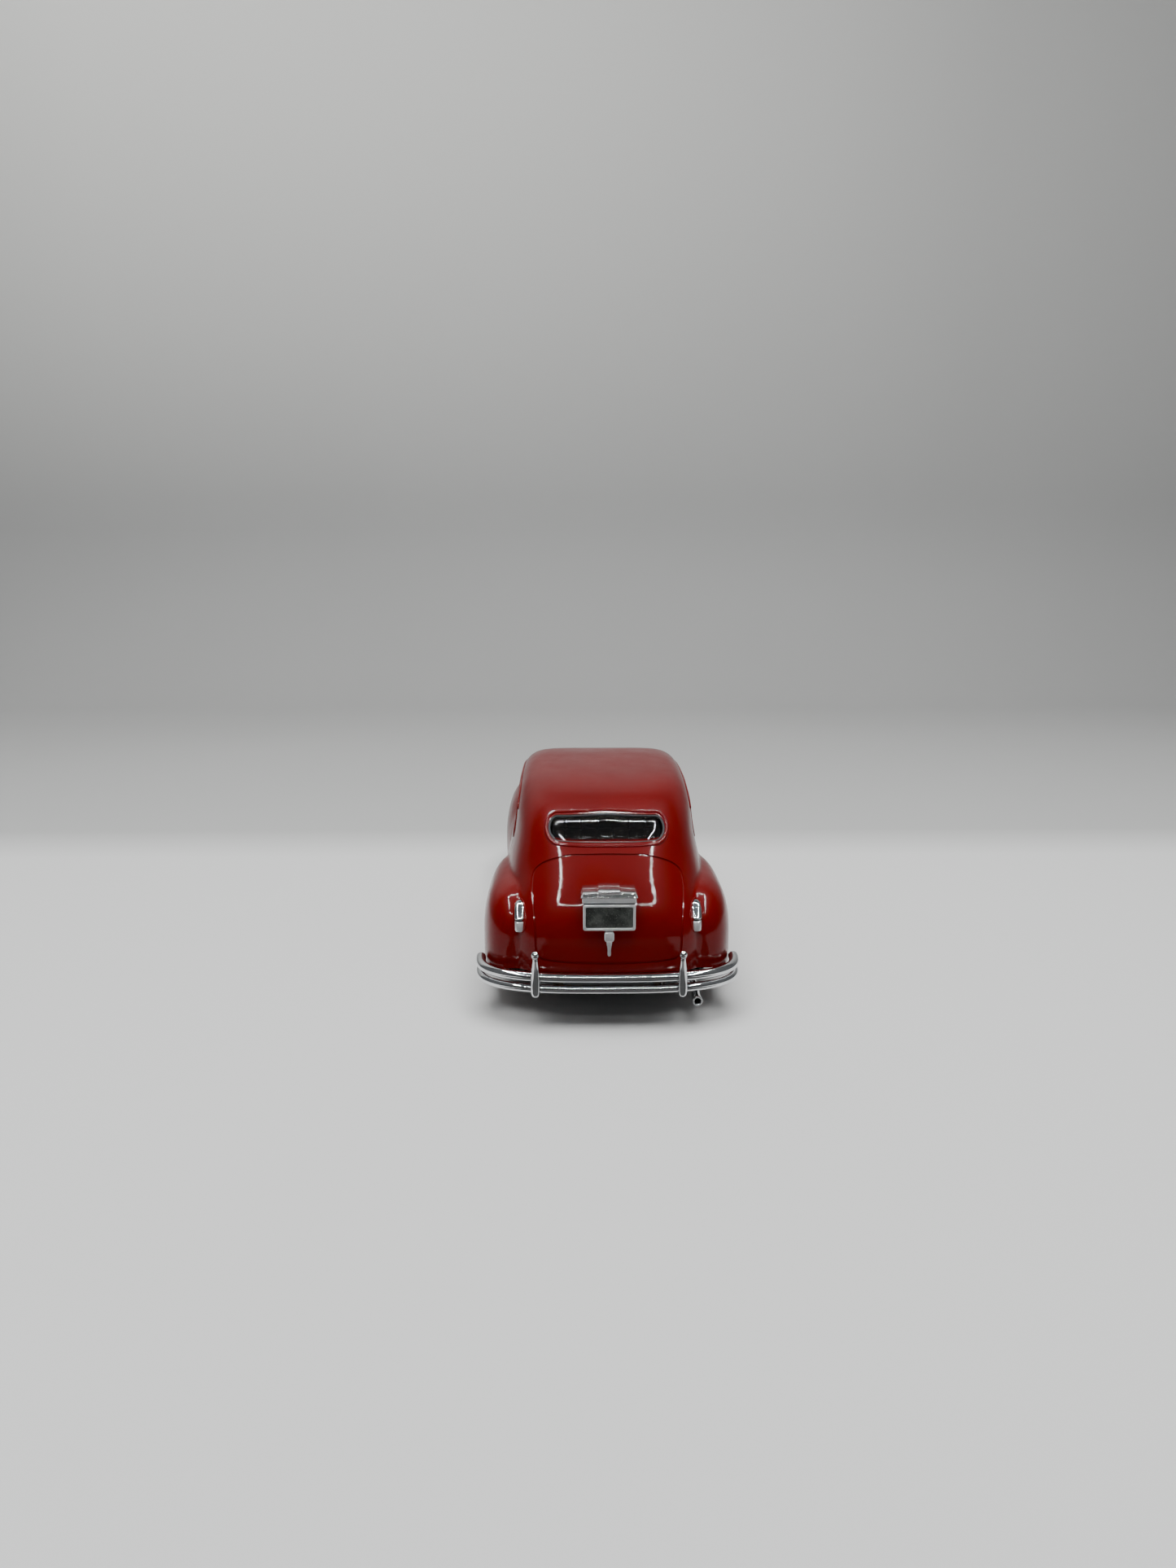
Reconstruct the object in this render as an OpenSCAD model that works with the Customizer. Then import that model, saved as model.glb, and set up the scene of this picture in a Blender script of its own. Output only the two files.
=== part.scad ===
// Friction-drive model of a 1940s sedan, about 1:43.
// Frame: +X is the way the car drives, +Y its left side, +Z up. Millimetres.
// The origin is on the ground, midway between the tips of the two bumpers.

/* [Wheels] */
// Distance between the two axles
wheelbase = 71; // [69:0.5:73]
// Outer radius of a tyre
tyre_r = 8.3; // [8.1:0.1:8.5]
// Width of a tyre
tyre_w = 4.4; // [4:0.1:4.6]
// Distance between the middles of the left and right tyres
track = 37.2; // [36.8:0.1:37.6]
// Radius of both axles
axle_r = 1; // [0.8:0.05:1.05]
// Radial running clearance of an axle or shaft in its bearing
run_gap = 0.05; // [0.03:0.01:0.08]
// Radius of the wheel openings in the body
arch_r = 9.8; // [9.4:0.1:10]

/* [Body] */
// Height of the roof above the ground
roof_h = 40; // [39:0.25:41]
// Wall thickness of the cast body
wall = 1.3; // [1:0.1:1.4]
// Half width of the body over the rear fenders
fender_w = 23.4; // [23:0.1:23.8]
// Height of the lower edge of the doors
sill_z = 6.8; // [6.5:0.1:7]
// Thickness of the window panes
pane_t = 0.8; // [0.6:0.1:1]

/* [Bumpers] */
// Distance from the origin to the tip of each bumper
bumper_x = 61.2; // [60.8:0.1:61.8]
// Half width of each bumper
bumper_w = 24.5; // [24:0.1:24.5]
// Height of the middle of the bumpers
bumper_z = 8.6; // [8.5:0.1:9]

/* [Friction motor] */
// Gear module
gear_m = 0.4; // [0.4:0.05:0.4]
// Teeth on the axle gear and on the layshaft gear
gear_teeth = 28; // [26:1:28]
// Teeth on the two pinions
pinion_teeth = 10; // [10:1:10]
// Radius of the flywheel
flywheel_r = 5.8; // [5:0.1:6]
// Radius of the layshaft and the flywheel shaft
shaft_r = 0.6; // [0.5:0.05:0.7]

/* [Chassis] */
// Thickness of the base plate
plate_t = 1.2; // [1:0.1:1.4]
// Radius of the threaded holes that take the screws of a display plinth
plinth_hole_r = 1.2; // [1.1:0.05:1.3]
// Radius of the screws that hold body and chassis together
screw_r = 0.75; // [0.7:0.05:0.8]

/* [Hidden] */
$fn = 48;

paint = "firebrick";
chrome = "silver";
rear_x = -30;
front_x = rear_x + wheelbase;
axle_z = tyre_r;
rim_r = 5.3;
touch = 0.01;

// ---- Body surface -------------------------------------------------------
// The body is the smooth union of a hull, which carries the hood, cabin and
// trunk, and of four bulbous fenders. Each is a superellipsoid whose size
// follows the outlines below, and body_field() is about the distance in mm
// from the joined surface: negative inside and positive outside.

tail_x = -59;
nose_x = 58.5;
waist_z = 12;
hull_down = 22;
// How much narrower the cabin is than the doors, and the heights between which it narrows
lean = 0.11;
lean_from = 17;
lean_to = 31;
rear_blend = 0.6;
front_blend = 3;

// Side view of the centre line: [x, height over the waist line at full roof]
top_line = [
    [tail_x, 13.6], [-58.6, 17.5], [-57, 21.5], [-54, 25.2], [-50, 28.3], [-46, 30.9], [-42, 33.5],
    [-38, 35.6], [-33, 37.4], [-26, 38.9], [-18, 39.7], [-8, 40], [0, 39.8], [7, 39.2], [11, 38.2],
    [14.5, 36.2], [22.5, 28.8], [27, 28], [36, 27.6], [45, 26.7], [52, 24.6], [56, 21.3], [58, 17],
    [nose_x, 13.6]];
// Plan view: [x, half width at the waist]
plan_line = [
    [tail_x, 0], [-58.5, 8], [-57.5, 12.5], [-56, 15], [-53, 17], [-48, 18.2], [-40, 19.2],
    [-30, 20], [-20, 20.4], [-8, 20.6], [12, 20.6], [20, 19], [28, 16], [36, 14], [45, 12.5], [52, 11],
    [56, 8.5], [58, 5], [nose_x, 0]];
// Squareness of the cross-section: [x, exponent]
square_line = [
    [tail_x, 2.5], [-48, 3], [-35, 5], [-22, 7], [8, 7], [14, 5.5], [21, 3.5], [30, 2.6], [nose_x, 2.4]];
// Height of the lower edge: [x, z]
edge_line = [
    [tail_x, 10.3], [-56, 10], [-50, 8.8], [-44, sill_z + 0.2], [-30, sill_z], [0, sill_z],
    [40, sill_z], [46, 7.6], [50, 8.8], [nose_x, 9.4]];

// Fenders: [middle, reach ahead, reach behind, out, in, up, down, exponent]
rear_fender = [[-37, 15.2, 11.5], 24, 17.5, fender_w - 15.2, 8.2, 11.9, 14, 3.1];
front_fender = [[40, 15.4, 11.5], 17.3, 30, fender_w - 15.2, 7.5, 13.7, 14, 2.5];

mid_x = (nose_x + tail_x) / 2;
half_len = (nose_x - tail_x) / 2;
// Outlines are interpolated over this angle, so that they close with round ends.
function turn(x) = acos(max(-1, min(1, (mid_x - x) / half_len)));
function knots(line) = [for (p = line) [turn(p[0]), p[1]]];
function hermite(p0, p1, m0, m1, s) =
    (2 * s ^ 3 - 3 * s ^ 2 + 1) * p0 + (s ^ 3 - 2 * s ^ 2 + s) * m0
    + (3 * s ^ 2 - 2 * s ^ 3) * p1 + (s ^ 3 - s ^ 2) * m1;
function slope(k, i) =
    let (a = max(0, i - 1), b = min(len(k) - 1, i + 1)) (k[b][1] - k[a][1]) / (k[b][0] - k[a][0]);
function span_at(k, a, lo, hi) =
    hi - lo <= 1 ? lo
    : let (mid = floor((lo + hi) / 2)) k[mid][0] <= a ? span_at(k, a, mid, hi) : span_at(k, a, lo, mid);
function along(k, a) =
    let (i = span_at(k, a, 0, len(k) - 1), w = k[i + 1][0] - k[i][0], s = (a - k[i][0]) / w)
    hermite(k[i][1], k[i + 1][1], slope(k, i) * w, slope(k, i + 1) * w, max(0, min(1, s)));

top_knots = knots(top_line);
plan_knots = knots(plan_line);
square_knots = knots(square_line);
edge_knots = knots(edge_line);
function top_z(x) = waist_z + (along(top_knots, turn(x)) - waist_z) * (roof_h - waist_z) / (40 - waist_z);
function edge_z(x) = along(edge_knots, turn(x));

function leaned(z) =
    let (s = max(0, min(1, (z - lean_from) / (lean_to - lean_from))))
    1 - lean * s * s * (3 - 2 * s);

function hull_field(p) =
    p[0] <= tail_x || p[0] >= nose_x ? 10
    : let (
        a = turn(p[0]),
        n = along(square_knots, a),
        w = max(0.01, along(plan_knots, a)) * leaned(p[2]),
        h = p[2] > waist_z ? top_z(p[0]) - waist_z : hull_down,
        y = abs(p[1]) + 0.001,
        z = abs(p[2] - waist_z) + 0.001,
        u = (y / w) ^ n,
        v = (z / h) ^ n)
    (u + v - 1) / max(0.03, n * norm([u / y, v / z]));

function fender_field(p, f) =
    let (
        q = [p[0], abs(p[1]), p[2]] - f[0],
        r = [q[0] > 0 ? f[1] : f[2], q[1] > 0 ? f[3] : f[4], q[2] > 0 ? f[5] : f[6]],
        e = f[7],
        t = [for (i = [0:2]) (abs(q[i]) + 0.001) / r[i]])
    (t[0] ^ e + t[1] ^ e + t[2] ^ e - 1)
    / max(0.03, e * norm([for (i = [0:2]) t[i] ^ (e - 1) / r[i]]));

function joined(a, b, r) = let (h = max(r - abs(a - b), 0) / r) min(a, b) - h * h * r / 4;

function body_field(p) =
    joined(
        joined(hull_field(p), fender_field(p, rear_fender), rear_blend),
        fender_field(p, front_fender), front_blend);

function surface_at(o, d, lo = 0, hi = 80, n = 15) =
    n == 0 ? o + d * (lo + hi) / 2
    : let (mid = (lo + hi) / 2)
        body_field(o + d * mid) < 0
            ? surface_at(o, d, mid, hi, n - 1)
            : surface_at(o, d, lo, mid, n - 1);

function body_normal(p) =
    let (
        e = 0.05,
        g = [
            for (i = [0:2])
            let (s = [for (k = [0:2]) k == i ? e : 0])
                body_field(p + s) - body_field(p - s)])
    g / norm(g);

function inward(p, t) = p - t * body_normal(p);
// Moves a point of the lower edge inward without leaving its height.
function inward_level(p, t) =
    let (n = body_normal(p), m = [n[0], n[1], 0]) p - t * m / norm(m);

// The surface is a grid: columns run round the car from tail to nose, and rows
// from the lower edge to the centre line of the roof.
fan_rear_x = -30;
fan_front_x = 34;
fan_n = 12;
side_n = 23;
row_n = 18;
column_n = 2 * fan_n + side_n;

function column_start(i) =
    i <= fan_n ? fan_rear_x
    : i >= fan_n + side_n ? fan_front_x
    : fan_rear_x + (fan_front_x - fan_rear_x) * (i - fan_n) / side_n;
function column_angle(i) =
    i <= fan_n ? 180 - 90 * i / fan_n : i >= fan_n + side_n ? 90 - 90 * (i - fan_n - side_n) / fan_n : 90;
function column_edge(i) =
    let (c = cos(column_angle(i)), x = column_start(i) + c * 27) edge_z(max(tail_x, min(nose_x, x)));
function grid_point(i, j) =
    let (
        b = 90 * j / row_n,
        a = column_angle(i),
        o = [column_start(i), 0, column_edge(i)],
        flat = i == 0 || i == column_n || j == row_n ? 0 : 1)
    surface_at(o, [cos(a) * cos(b), flat * sin(a) * cos(b), sin(b)]);

// Index of a grid corner on the left (side 0) or right (side 1) half. The two
// halves share their corners on the centre plane.
function corner(i, j, side) =
    let (k = j == row_n ? max(fan_n, min(fan_n + side_n, i)) : i)
    (i == 0 || i == column_n || j == row_n || side == 0 ? 0 : (column_n + 1) * (row_n + 1))
    + k * (row_n + 1) + j;
function mirrored(pts) = concat(pts, [for (p = pts) [p[0], -p[1], p[2]]]);
function cell(a, b, c, d) = a == d ? [[a, b, c]] : [[a, b, c], [a, c, d]];

module shell_solid(t) {
    half = [for (i = [0:column_n], j = [0:row_n]) grid_point(i, j)];
    inner = [
        for (k = [0:len(half) - 1])
            k % (row_n + 1) == 0 ? inward_level(half[k], t) : inward(half[k], t)];
    skin = mirrored(half);
    lining = mirrored(inner);
    n = len(skin);
    cells = [
        for (s = [0, 1], i = [0:column_n - 1], j = [0:row_n - 1])
        let (
            a = corner(i, j, s),
            b = corner(i + 1, j, s),
            c = corner(i + 1, j + 1, s),
            d = corner(i, j + 1, s))
        for (f = cell(a, b, c, d))
            s == 0 ? [f[2], f[1], f[0]] : f];
    rim = [
        for (s = [0, 1], i = [0:column_n - 1])
        let (a = corner(i, 0, s), b = corner(i + 1, 0, s))
            s == 0 ? [a, b, b + n, a + n] : [b, a, a + n, b + n]];
    outside = [for (f = cells) [f[2], f[1], f[0]]];
    inside = [for (f = cells) [for (k = f) k + n]];
    polyhedron(concat(skin, lining), concat(outside, inside, [for (f = rim) [f[3], f[2], f[1], f[0]]]));
}

// A pane: the body surface seen from inside along d, over a grid of start
// points, between two depths below the paint.
module pane_solid(starts, d, near, far) {
    rows = len(starts);
    cols = len(starts[0]);
    skin = [for (r = starts, o = r) surface_at(o, d)];
    pts = concat([for (p = skin) inward(p, near)], [for (p = skin) inward(p, far)]);
    n = rows * cols;
    function at(r, c, k) = k * n + r * cols + c;
    faces = [
        for (r = [0:rows - 2], c = [0:cols - 2]) each [
            [at(r, c, 0), at(r, c + 1, 0), at(r + 1, c + 1, 0)],
            [at(r, c, 0), at(r + 1, c + 1, 0), at(r + 1, c, 0)],
            [at(r, c, 1), at(r + 1, c + 1, 1), at(r, c + 1, 1)],
            [at(r, c, 1), at(r + 1, c, 1), at(r + 1, c + 1, 1)]]];
    sides = concat(
        [for (c = [0:cols - 2]) each [
            [at(0, c, 0), at(0, c, 1), at(0, c + 1, 1), at(0, c + 1, 0)],
            [at(rows - 1, c + 1, 0), at(rows - 1, c + 1, 1), at(rows - 1, c, 1), at(rows - 1, c, 0)]]],
        [for (r = [0:rows - 2]) each [
            [at(r + 1, 0, 0), at(r + 1, 0, 1), at(r, 0, 1), at(r, 0, 0)],
            [at(r, cols - 1, 0), at(r, cols - 1, 1), at(r + 1, cols - 1, 1), at(r + 1, cols - 1, 0)]]]);
    polyhedron(pts, concat(faces, sides));
}

// ---- Openings in the body ------------------------------------------------
belt_z = 26.6;
header_z = 34.4;
pane_gap = 0.15;
pane_fit = 0.12;
flush = 0.3;

// A rounded prism: the hull of equal rods at the given corners.
module rods_y(corners, r, from, to) {
    hull()
        for (c = corners)
            translate([c[0], to, c[1]]) rotate([90, 0, 0]) cylinder(r = r, h = to - from, $fn = 16);
}
module rods_x(corners, r, from, to) {
    hull()
        for (c = corners)
            translate([from, c[0], c[1]]) rotate([0, 90, 0]) cylinder(r = r, h = to - from, $fn = 20);
}

// Both windows of one side, smaller all round by the amount shrink.
module side_windows(from, to, shrink = 0) {
    low = belt_z + 1;
    rods_y([[-3, low], [15, low], [10.6, header_z - 1.3], [-3, header_z - 1]], 1 - shrink, from, to);
    rods_y([[-7, low], [-24.5, low], [-21.5, header_z - 1.8], [-7, header_z - 1]], 1 - shrink, from, to);
}
module windshields(shrink = 0) {
    for (s = [-1, 1])
        rods_x([[s * 1.8, 31], [s * 14, 31], [s * 12.4, 35], [s * 1.8, 35.4]], 1 - shrink, 8, 32);
}
module rear_window(shrink = 0)
    rods_x([[-9.12, 32.5], [9.12, 32.5], [0, 32.85]], 1.9 - shrink, -58, -30);

lamp_y = 15.4;
lamp_z = 15.6;
lamp_r = 3.8;
module grille_hole(shrink = 0)
    rods_x([[-8.4, 11.6], [8.4, 11.6], [6.6, 17.2], [-6.6, 17.2]], 1.2 - shrink, 50, 62);

plate_z = 5.7;
plate_top = plate_z + plate_t;
post_x = [-48, 28];
post_top = [27.6, 27.2];

module body_shell() {
    color(paint) difference() {
        union() {
            shell_solid(wall);
            // Posts that take the chassis screws
            for (i = [0, 1])
                translate([post_x[i], 0, plate_top]) cylinder(r = 2, h = post_top[i] - plate_top);
        }
        side_windows(14, 27);
        side_windows(-27, -14);
        windshields();
        rear_window();
        grille_hole();
        for (s = [-1, 1]) translate([53, s * lamp_y, lamp_z]) rotate([0, 90, 0]) cylinder(r = lamp_r, h = 8);
        for (x = [rear_x, front_x], s = [-1, 1])
            translate([x, s > 0 ? 27 : -17, axle_z]) rotate([90, 0, 0]) cylinder(r = arch_r, h = 10);
        for (x = post_x) translate([x, 0, plate_top - 1]) cylinder(r = screw_r + touch, h = 11);
    }
}

// ---- Windows ---------------------------------------------------------------
pane_in = wall + pane_gap;
pane_back = pane_in + pane_t;
function steps(from, to, n) = [for (i = [0:n]) from + (to - from) * i / n];

module side_pane() {
    starts = [
        for (z = steps(belt_z - 1, header_z + 0.9, 5))
        let (front = min(17.2, 16.7 - 0.8 * (z - 28.2)))
            [for (x = steps(-26.6, front, 16)) [x, 0, z]]];
    pane_solid(starts, [0, 1, 0], pane_in, pane_back);
    intersection() {
        pane_solid(starts, [0, 1, 0], flush, pane_in + 0.2);
        side_windows(12, 27, pane_fit);
    }
}
module side_pane_left() color("lightgray") side_pane();
module side_pane_right() color("lightgray") mirror([0, 1, 0]) side_pane();

module windshield_pane() {
    starts = [
        for (z = steps(29.5, 36.7, 5))
        let (half = 15.45 - 0.32 * (z - 29.5))
            [for (y = steps(half, -half, 14)) [0, y, z]]];
    color("lightgray") {
        pane_solid(starts, [1, 0, 0], pane_in, pane_back);
        intersection() {
            pane_solid(starts, [1, 0, 0], flush, pane_in + 0.2);
            windshields(pane_fit);
        }
    }
}

module rear_window_pane() {
    starts = [for (z = steps(29.9, 35.6, 5)) [for (y = steps(-12.6, 12.6, 14)) [-20, y, z]]];
    color("lightgray") {
        pane_solid(starts, [-1, 0, 0], pane_in, pane_back);
        intersection() {
            pane_solid(starts, [-1, 0, 0], flush - 0.1, pane_in + 0.2);
            rear_window(pane_fit);
        }
    }
}

// ---- Bright trim -----------------------------------------------------------
bar_x = bumper_x - 0.95;
bar_end = bumper_x - 13;
overrider_y = 13;
strut_y = 9;

// Joins equal rings of points into one closed solid.
module swept(rings) {
    n = len(rings);
    m = len(rings[0]);
    sides = [
        for (i = [0:n - 2], j = [0:m - 1])
        let (a = i * m + j, b = i * m + (j + 1) % m) each [[a, b, b + m], [a, b + m, a + m]]];
    start = [for (j = [1:m - 2]) [0, j + 1, j]];
    end = [for (j = [1:m - 2]) [(n - 1) * m, (n - 1) * m + j, (n - 1) * m + j + 1]];
    polyhedron([for (r = rings) each r], concat(sides, start, end));
}

// One bumper bar, seen from above as a squared-off arc with closed round ends.
module bumper_bar(z, half_t, half_h) {
    p = 3;
    bow = bumper_x - 0.35 - half_t - bar_end;
    bar_w = bumper_w - half_t;
    stations = [
        for (i = [0:26])
        let (a = -96 + 192 * i / 26)
            [max(-90, min(90, a)), max(0, abs(a) - 90) / 6]];
    rings = [
        for (s = stations)
        let (
            c = cos(s[0]),
            x = bar_end + bow * pow(max(0, c), 2 / p) - half_t * s[1],
            y = bar_w * sign(s[0]) * pow(abs(sin(s[0])), 2 / p),
            n = [
                pow(max(0.0001, c), 2 - 2 / p) / bow,
                sign(s[0]) * pow(abs(sin(s[0])), 2 - 2 / p) / bar_w],
            u = n / norm(n),
            k = 1 - 0.55 * s[1])
        [for (j = [0:9]) let (b = 36 * j) [
            x + u[0] * half_t * k * cos(b), y + u[1] * half_t * k * cos(b), z + half_h * k * sin(b)]]];
    swept(rings);
}

module overrider() {
    translate([bumper_x - 0.9, 0, 7]) cylinder(r1 = 0.9, r2 = 0.5, h = 7);
    translate([bumper_x - 0.9, 0, 7]) sphere(r = 0.9);
    translate([bumper_x - 0.9, 0, 13.9]) sphere(r = 0.8);
}

module bumper() {
    bumper_bar(bumper_z + 0.9, 0.85, 0.82);
    bumper_bar(bumper_z - 1.2, 0.7, 0.76);
    for (s = [-1, 1]) {
        translate([0, s * overrider_y, 0]) overrider();
        translate([52, s * strut_y - 1, plate_top]) cube([bar_x - 52, 2, 1.2]);
    }
}
module rear_bumper() color(chrome) mirror([1, 0, 0]) bumper();
module front_bumper() color(chrome) bumper();

grille_r = 17.2;
module radiator_grille() {
    color(chrome) translate([57.7 - grille_r, 0, 0]) {
        for (z = steps(10.9, 17.9, 5))
            translate([0, 0, z]) rotate([0, 0, -26]) rotate_extrude(angle = 52, $fn = 96)
                translate([grille_r, 0]) circle(r = 0.42, $fn = 16);
        for (a = [-24, -12, 12, 24])
            rotate([0, 0, a]) translate([grille_r - 1.7, -0.4, 10.5]) cube([1.5, 0.8, 7.5]);
        rotate([0, 0, -27]) rotate_extrude(angle = 54, $fn = 96)
            translate([grille_r - 2.6, 10.2]) square([1, 7.9]);
    }
}

// The body under a piece of trim, as a solid to cut the trim with. It starts
// from the plane at from_x and looks back (way -1) or ahead (way 1).
seat_gap = 0.15;
lamp_gap = 0.6;
bezel_gap = 0.7;
module seat_back(ys, zs, from_x, way, gap = seat_gap) {
    across = way > 0 ? [for (k = [len(ys) - 1:-1:0]) ys[k]] : ys;
    pane_solid([for (z = zs) [for (y = across) [from_x, y, z]]], [way, 0, 0], -gap, 5);
}

// A slim strip along the hood: [x, half width, height over the hood]
strip = [
    [36, 0.15, 0.1], [37, 0.3, 0.3], [41, 0.42, 0.4], [46, 0.5, 0.5], [50, 0.55, 0.7], [53, 0.55, 1],
    [55, 0.5, 1.35], [56.2, 0.42, 1.5], [57, 0.25, 1.3]];
strip_lift = 0.08;
module hood_ornament() {
    color(chrome) swept([
        for (s = strip) [
            for (a = [180:-22.5:0])
                [s[0], s[1] * cos(a), top_z(s[0]) + strip_lift + s[2] * sin(a)]]]);
}

tag_w = 9.2;
tag_z = [18.3, 23];
tag_x = -60.1;
module plate_bracket() {
    color(chrome) difference() {
        union() {
            difference() {
                translate([tag_x, -tag_w / 2, tag_z[0]]) cube([1, tag_w, tag_z[1] - tag_z[0]]);
                translate([tag_x - 1, 0.45 - tag_w / 2, tag_z[0] + 0.45])
                    cube([1.3, tag_w - 0.9, tag_z[1] - tag_z[0] - 0.9]);
            }
            translate([tag_x + 0.5, -2, tag_z[0] + 1.5]) cube([6, 4, 2]);
            translate([tag_x + 0.1, -4.8, tag_z[1]]) cube([5, 9.6, 1.2]);
            translate([tag_x + 1, -5, tag_z[1] + 1.2]) cube([5, 10, 0.8]);
            translate([tag_x + 1.4, -2.2, tag_z[1] + 2]) cube([5, 4.4, 0.4]);
        }
        seat_back(steps(-6, 6, 6), steps(15, 26, 8), -40, -1);
    }
}

module trunk_handle() {
    color(chrome) difference() {
        union() {
            translate([-60.4, -0.9, 16.2]) cube([4, 1.8, 1.9]);
            translate([-60.2, 0, 13.6]) cylinder(r1 = 0.35, r2 = 0.5, h = 2.7);
            translate([-60.2, -0.3, 13.6]) cube([2.6, 0.6, 0.7]);
        }
        seat_back(steps(-2, 2, 4), steps(12, 20, 8), -40, -1);
    }
}

module tail_lamp() {
    difference() {
        hull() {
            translate([-53.9, 16, 17.5]) sphere(r = 1.15, $fn = 24);
            translate([-53.4, 16, 20.1]) sphere(r = 1.22, $fn = 24);
            translate([-51.6, 16, 17.6]) rotate([0, 90, 0]) cylinder(r = 1.1, h = 1, $fn = 24);
            translate([-50.2, 16, 20.3]) rotate([0, 90, 0]) cylinder(r = 1, h = 1, $fn = 24);
        }
        seat_back(steps(13.6, 18.4, 6), steps(14, 22.4, 8), -34, -1, lamp_gap);
    }
}
module tail_lamp_left() color(chrome) tail_lamp();
module tail_lamp_right() color(chrome) mirror([0, 1, 0]) tail_lamp();

module headlamp_bezel() {
    difference() {
        translate([54.4, lamp_y, lamp_z]) rotate([0, 90, 0]) difference() {
            cylinder(r = lamp_r + 0.35, h = 3.9);
            translate([0, 0, -1]) cylinder(r = lamp_r - 0.6, h = 6);
        }
        seat_back(steps(10, 21, 8), steps(10, 21.4, 8), 38, 1, bezel_gap);
    }
    translate([53.8, lamp_y, lamp_z]) rotate([0, 90, 0]) difference() {
        cylinder(r = lamp_r - 0.1, h = 4);
        translate([0, 0, 1]) cylinder(r1 = 1.4, r2 = lamp_r - 0.6, h = 3.01);
    }
}
module headlamp_bezel_left() color(chrome) headlamp_bezel();
module headlamp_bezel_right() color(chrome) mirror([0, 1, 0]) headlamp_bezel();

module headlamp_lens() {
    lens_r = lamp_r - 0.6 - touch;
    dome = [for (a = [0:10:90]) [lens_r * sin(a), 0.25 + 0.75 * cos(a)]];
    translate([57.8, lamp_y, lamp_z]) rotate([0, 90, 0]) rotate_extrude($fn = 64)
        polygon(concat([[0, 0]], dome, [[lens_r, 0]]));
}
module headlamp_lens_left() color("lightgray") headlamp_lens();
module headlamp_lens_right() color("lightgray") mirror([0, 1, 0]) headlamp_lens();

pipe_y = -15.9;
pipe_z = 4.6;
module exhaust_pipe() {
    color(chrome) {
        translate([-58.9, pipe_y, pipe_z]) rotate([0, 90, 0]) difference() {
            cylinder(r = 0.9, h = 17);
            translate([0, 0, -1]) cylinder(r = 0.62, h = 7);
        }
        translate([-50, pipe_y, pipe_z]) cube([2, 1.6, plate_z - pipe_z]);
    }
}

// ---- Chassis ---------------------------------------------------------------
lug_y = 13;
lug_t = 2;
plinth_x = [-41, 16];
plinth_depth = 6;

module chassis_outline() {
    difference() {
        union() {
            translate([-54, -15.4]) square([108, 30.8]);
            translate([-18.6, -19]) square([48, 38]);
        }
        for (x = [-54, 54], s = [-1, 1])
            translate([x, s * 15.4]) rotate([0, 0, 45]) square(5.6, center = true);
        translate([rear_x - 6.4, 3.3]) square([12.8, 3.1]);
        // Notches for the wheel hubs
        for (x = [rear_x, front_x], s = [-1, 1])
            translate([x - 2.4, s > 0 ? 14.05 : -15.45]) square([4.8, 1.4]);
        for (x = post_x) translate([x, 0]) circle(r = screw_r + 0.2);
    }
}

module axle_lug(x, y) {
    translate([x - 2.2, y - lug_t / 2, plate_top]) cube([4.4, lug_t, axle_z - plate_top]);
    translate([x, y + lug_t / 2, axle_z]) rotate([90, 0, 0]) cylinder(r = 2.2, h = lug_t);
}

module chassis_plate() {
    color("dimgray") difference() {
        union() {
            translate([0, 0, plate_z]) linear_extrude(plate_t) chassis_outline();
            for (x = [rear_x, front_x], s = [-1, 1]) axle_lug(x, s * lug_y);
            for (x = plinth_x) translate([x, 0, plate_top]) cylinder(r = 2.6, h = plinth_depth);
        }
        for (x = [rear_x, front_x])
            translate([x, 20, axle_z]) rotate([90, 0, 0]) cylinder(r = axle_r + run_gap, h = 40);
        for (x = plinth_x) translate([x, 0, plate_z - 1]) cylinder(r = plinth_hole_r, h = plinth_depth + 1);
        for (x = post_x) translate([x, 0, plate_z - touch]) cylinder(r1 = 1.6, r2 = screw_r + 0.2, h = 0.65);
    }
}

module chassis_screws() {
    color("silver") for (x = post_x) translate([x, 0, plate_z]) difference() {
        union() {
            cylinder(r1 = 1.5, r2 = screw_r, h = 0.6);
            cylinder(r = screw_r, h = 9);
        }
        translate([-0.9, -0.15, -0.1]) cube([1.8, 0.3, 0.4]);
    }
}

// ---- Cabin -----------------------------------------------------------------
tub_z = 19.8;
module interior_tub() {
    seat_top = tub_z + 4.4;
    color("tan") {
        translate([-33, -17.4, tub_z]) cube([46.4, 34.8, 1]);
        // Rear bench
        translate([-30, -15.4, tub_z + 1]) cube([10, 30.8, 3.4]);
        translate([-33, -14, tub_z + 1]) cube([3.4, 28, 9.4]);
        // Front bench
        translate([-11, -15.4, tub_z + 1]) cube([9, 30.8, 3.4]);
        translate([-13.4, -14, tub_z + 1]) cube([3.2, 28, 9]);
        // Dashboard and parcel shelf
        translate([10.4, -15, tub_z + 1]) cube([3, 30, 6.6]);
        translate([-41, -11.6, tub_z + 7.4]) cube([8.1, 23.2, 1]);
        // Legs that stand on the chassis plate
        for (s = [-1, 1]) translate([6, s * 10, plate_top]) cylinder(r = 1.4, h = tub_z - plate_top);
    }
}

module steering_wheel() {
    hoop_r = 3.1;
    color("ivory") translate([3.4, 8, 27.2]) rotate([0, 112, 0]) {
        rotate_extrude($fn = 48) translate([hoop_r, 0]) circle(r = 0.3, $fn = 16);
        cylinder(r = 0.5, h = 7.3);
        for (a = [0, 120, 240]) rotate([0, 0, a]) translate([0.2, -0.2, -0.2]) cube([hoop_r - 0.2, 0.4, 0.4]);
    }
}

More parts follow.
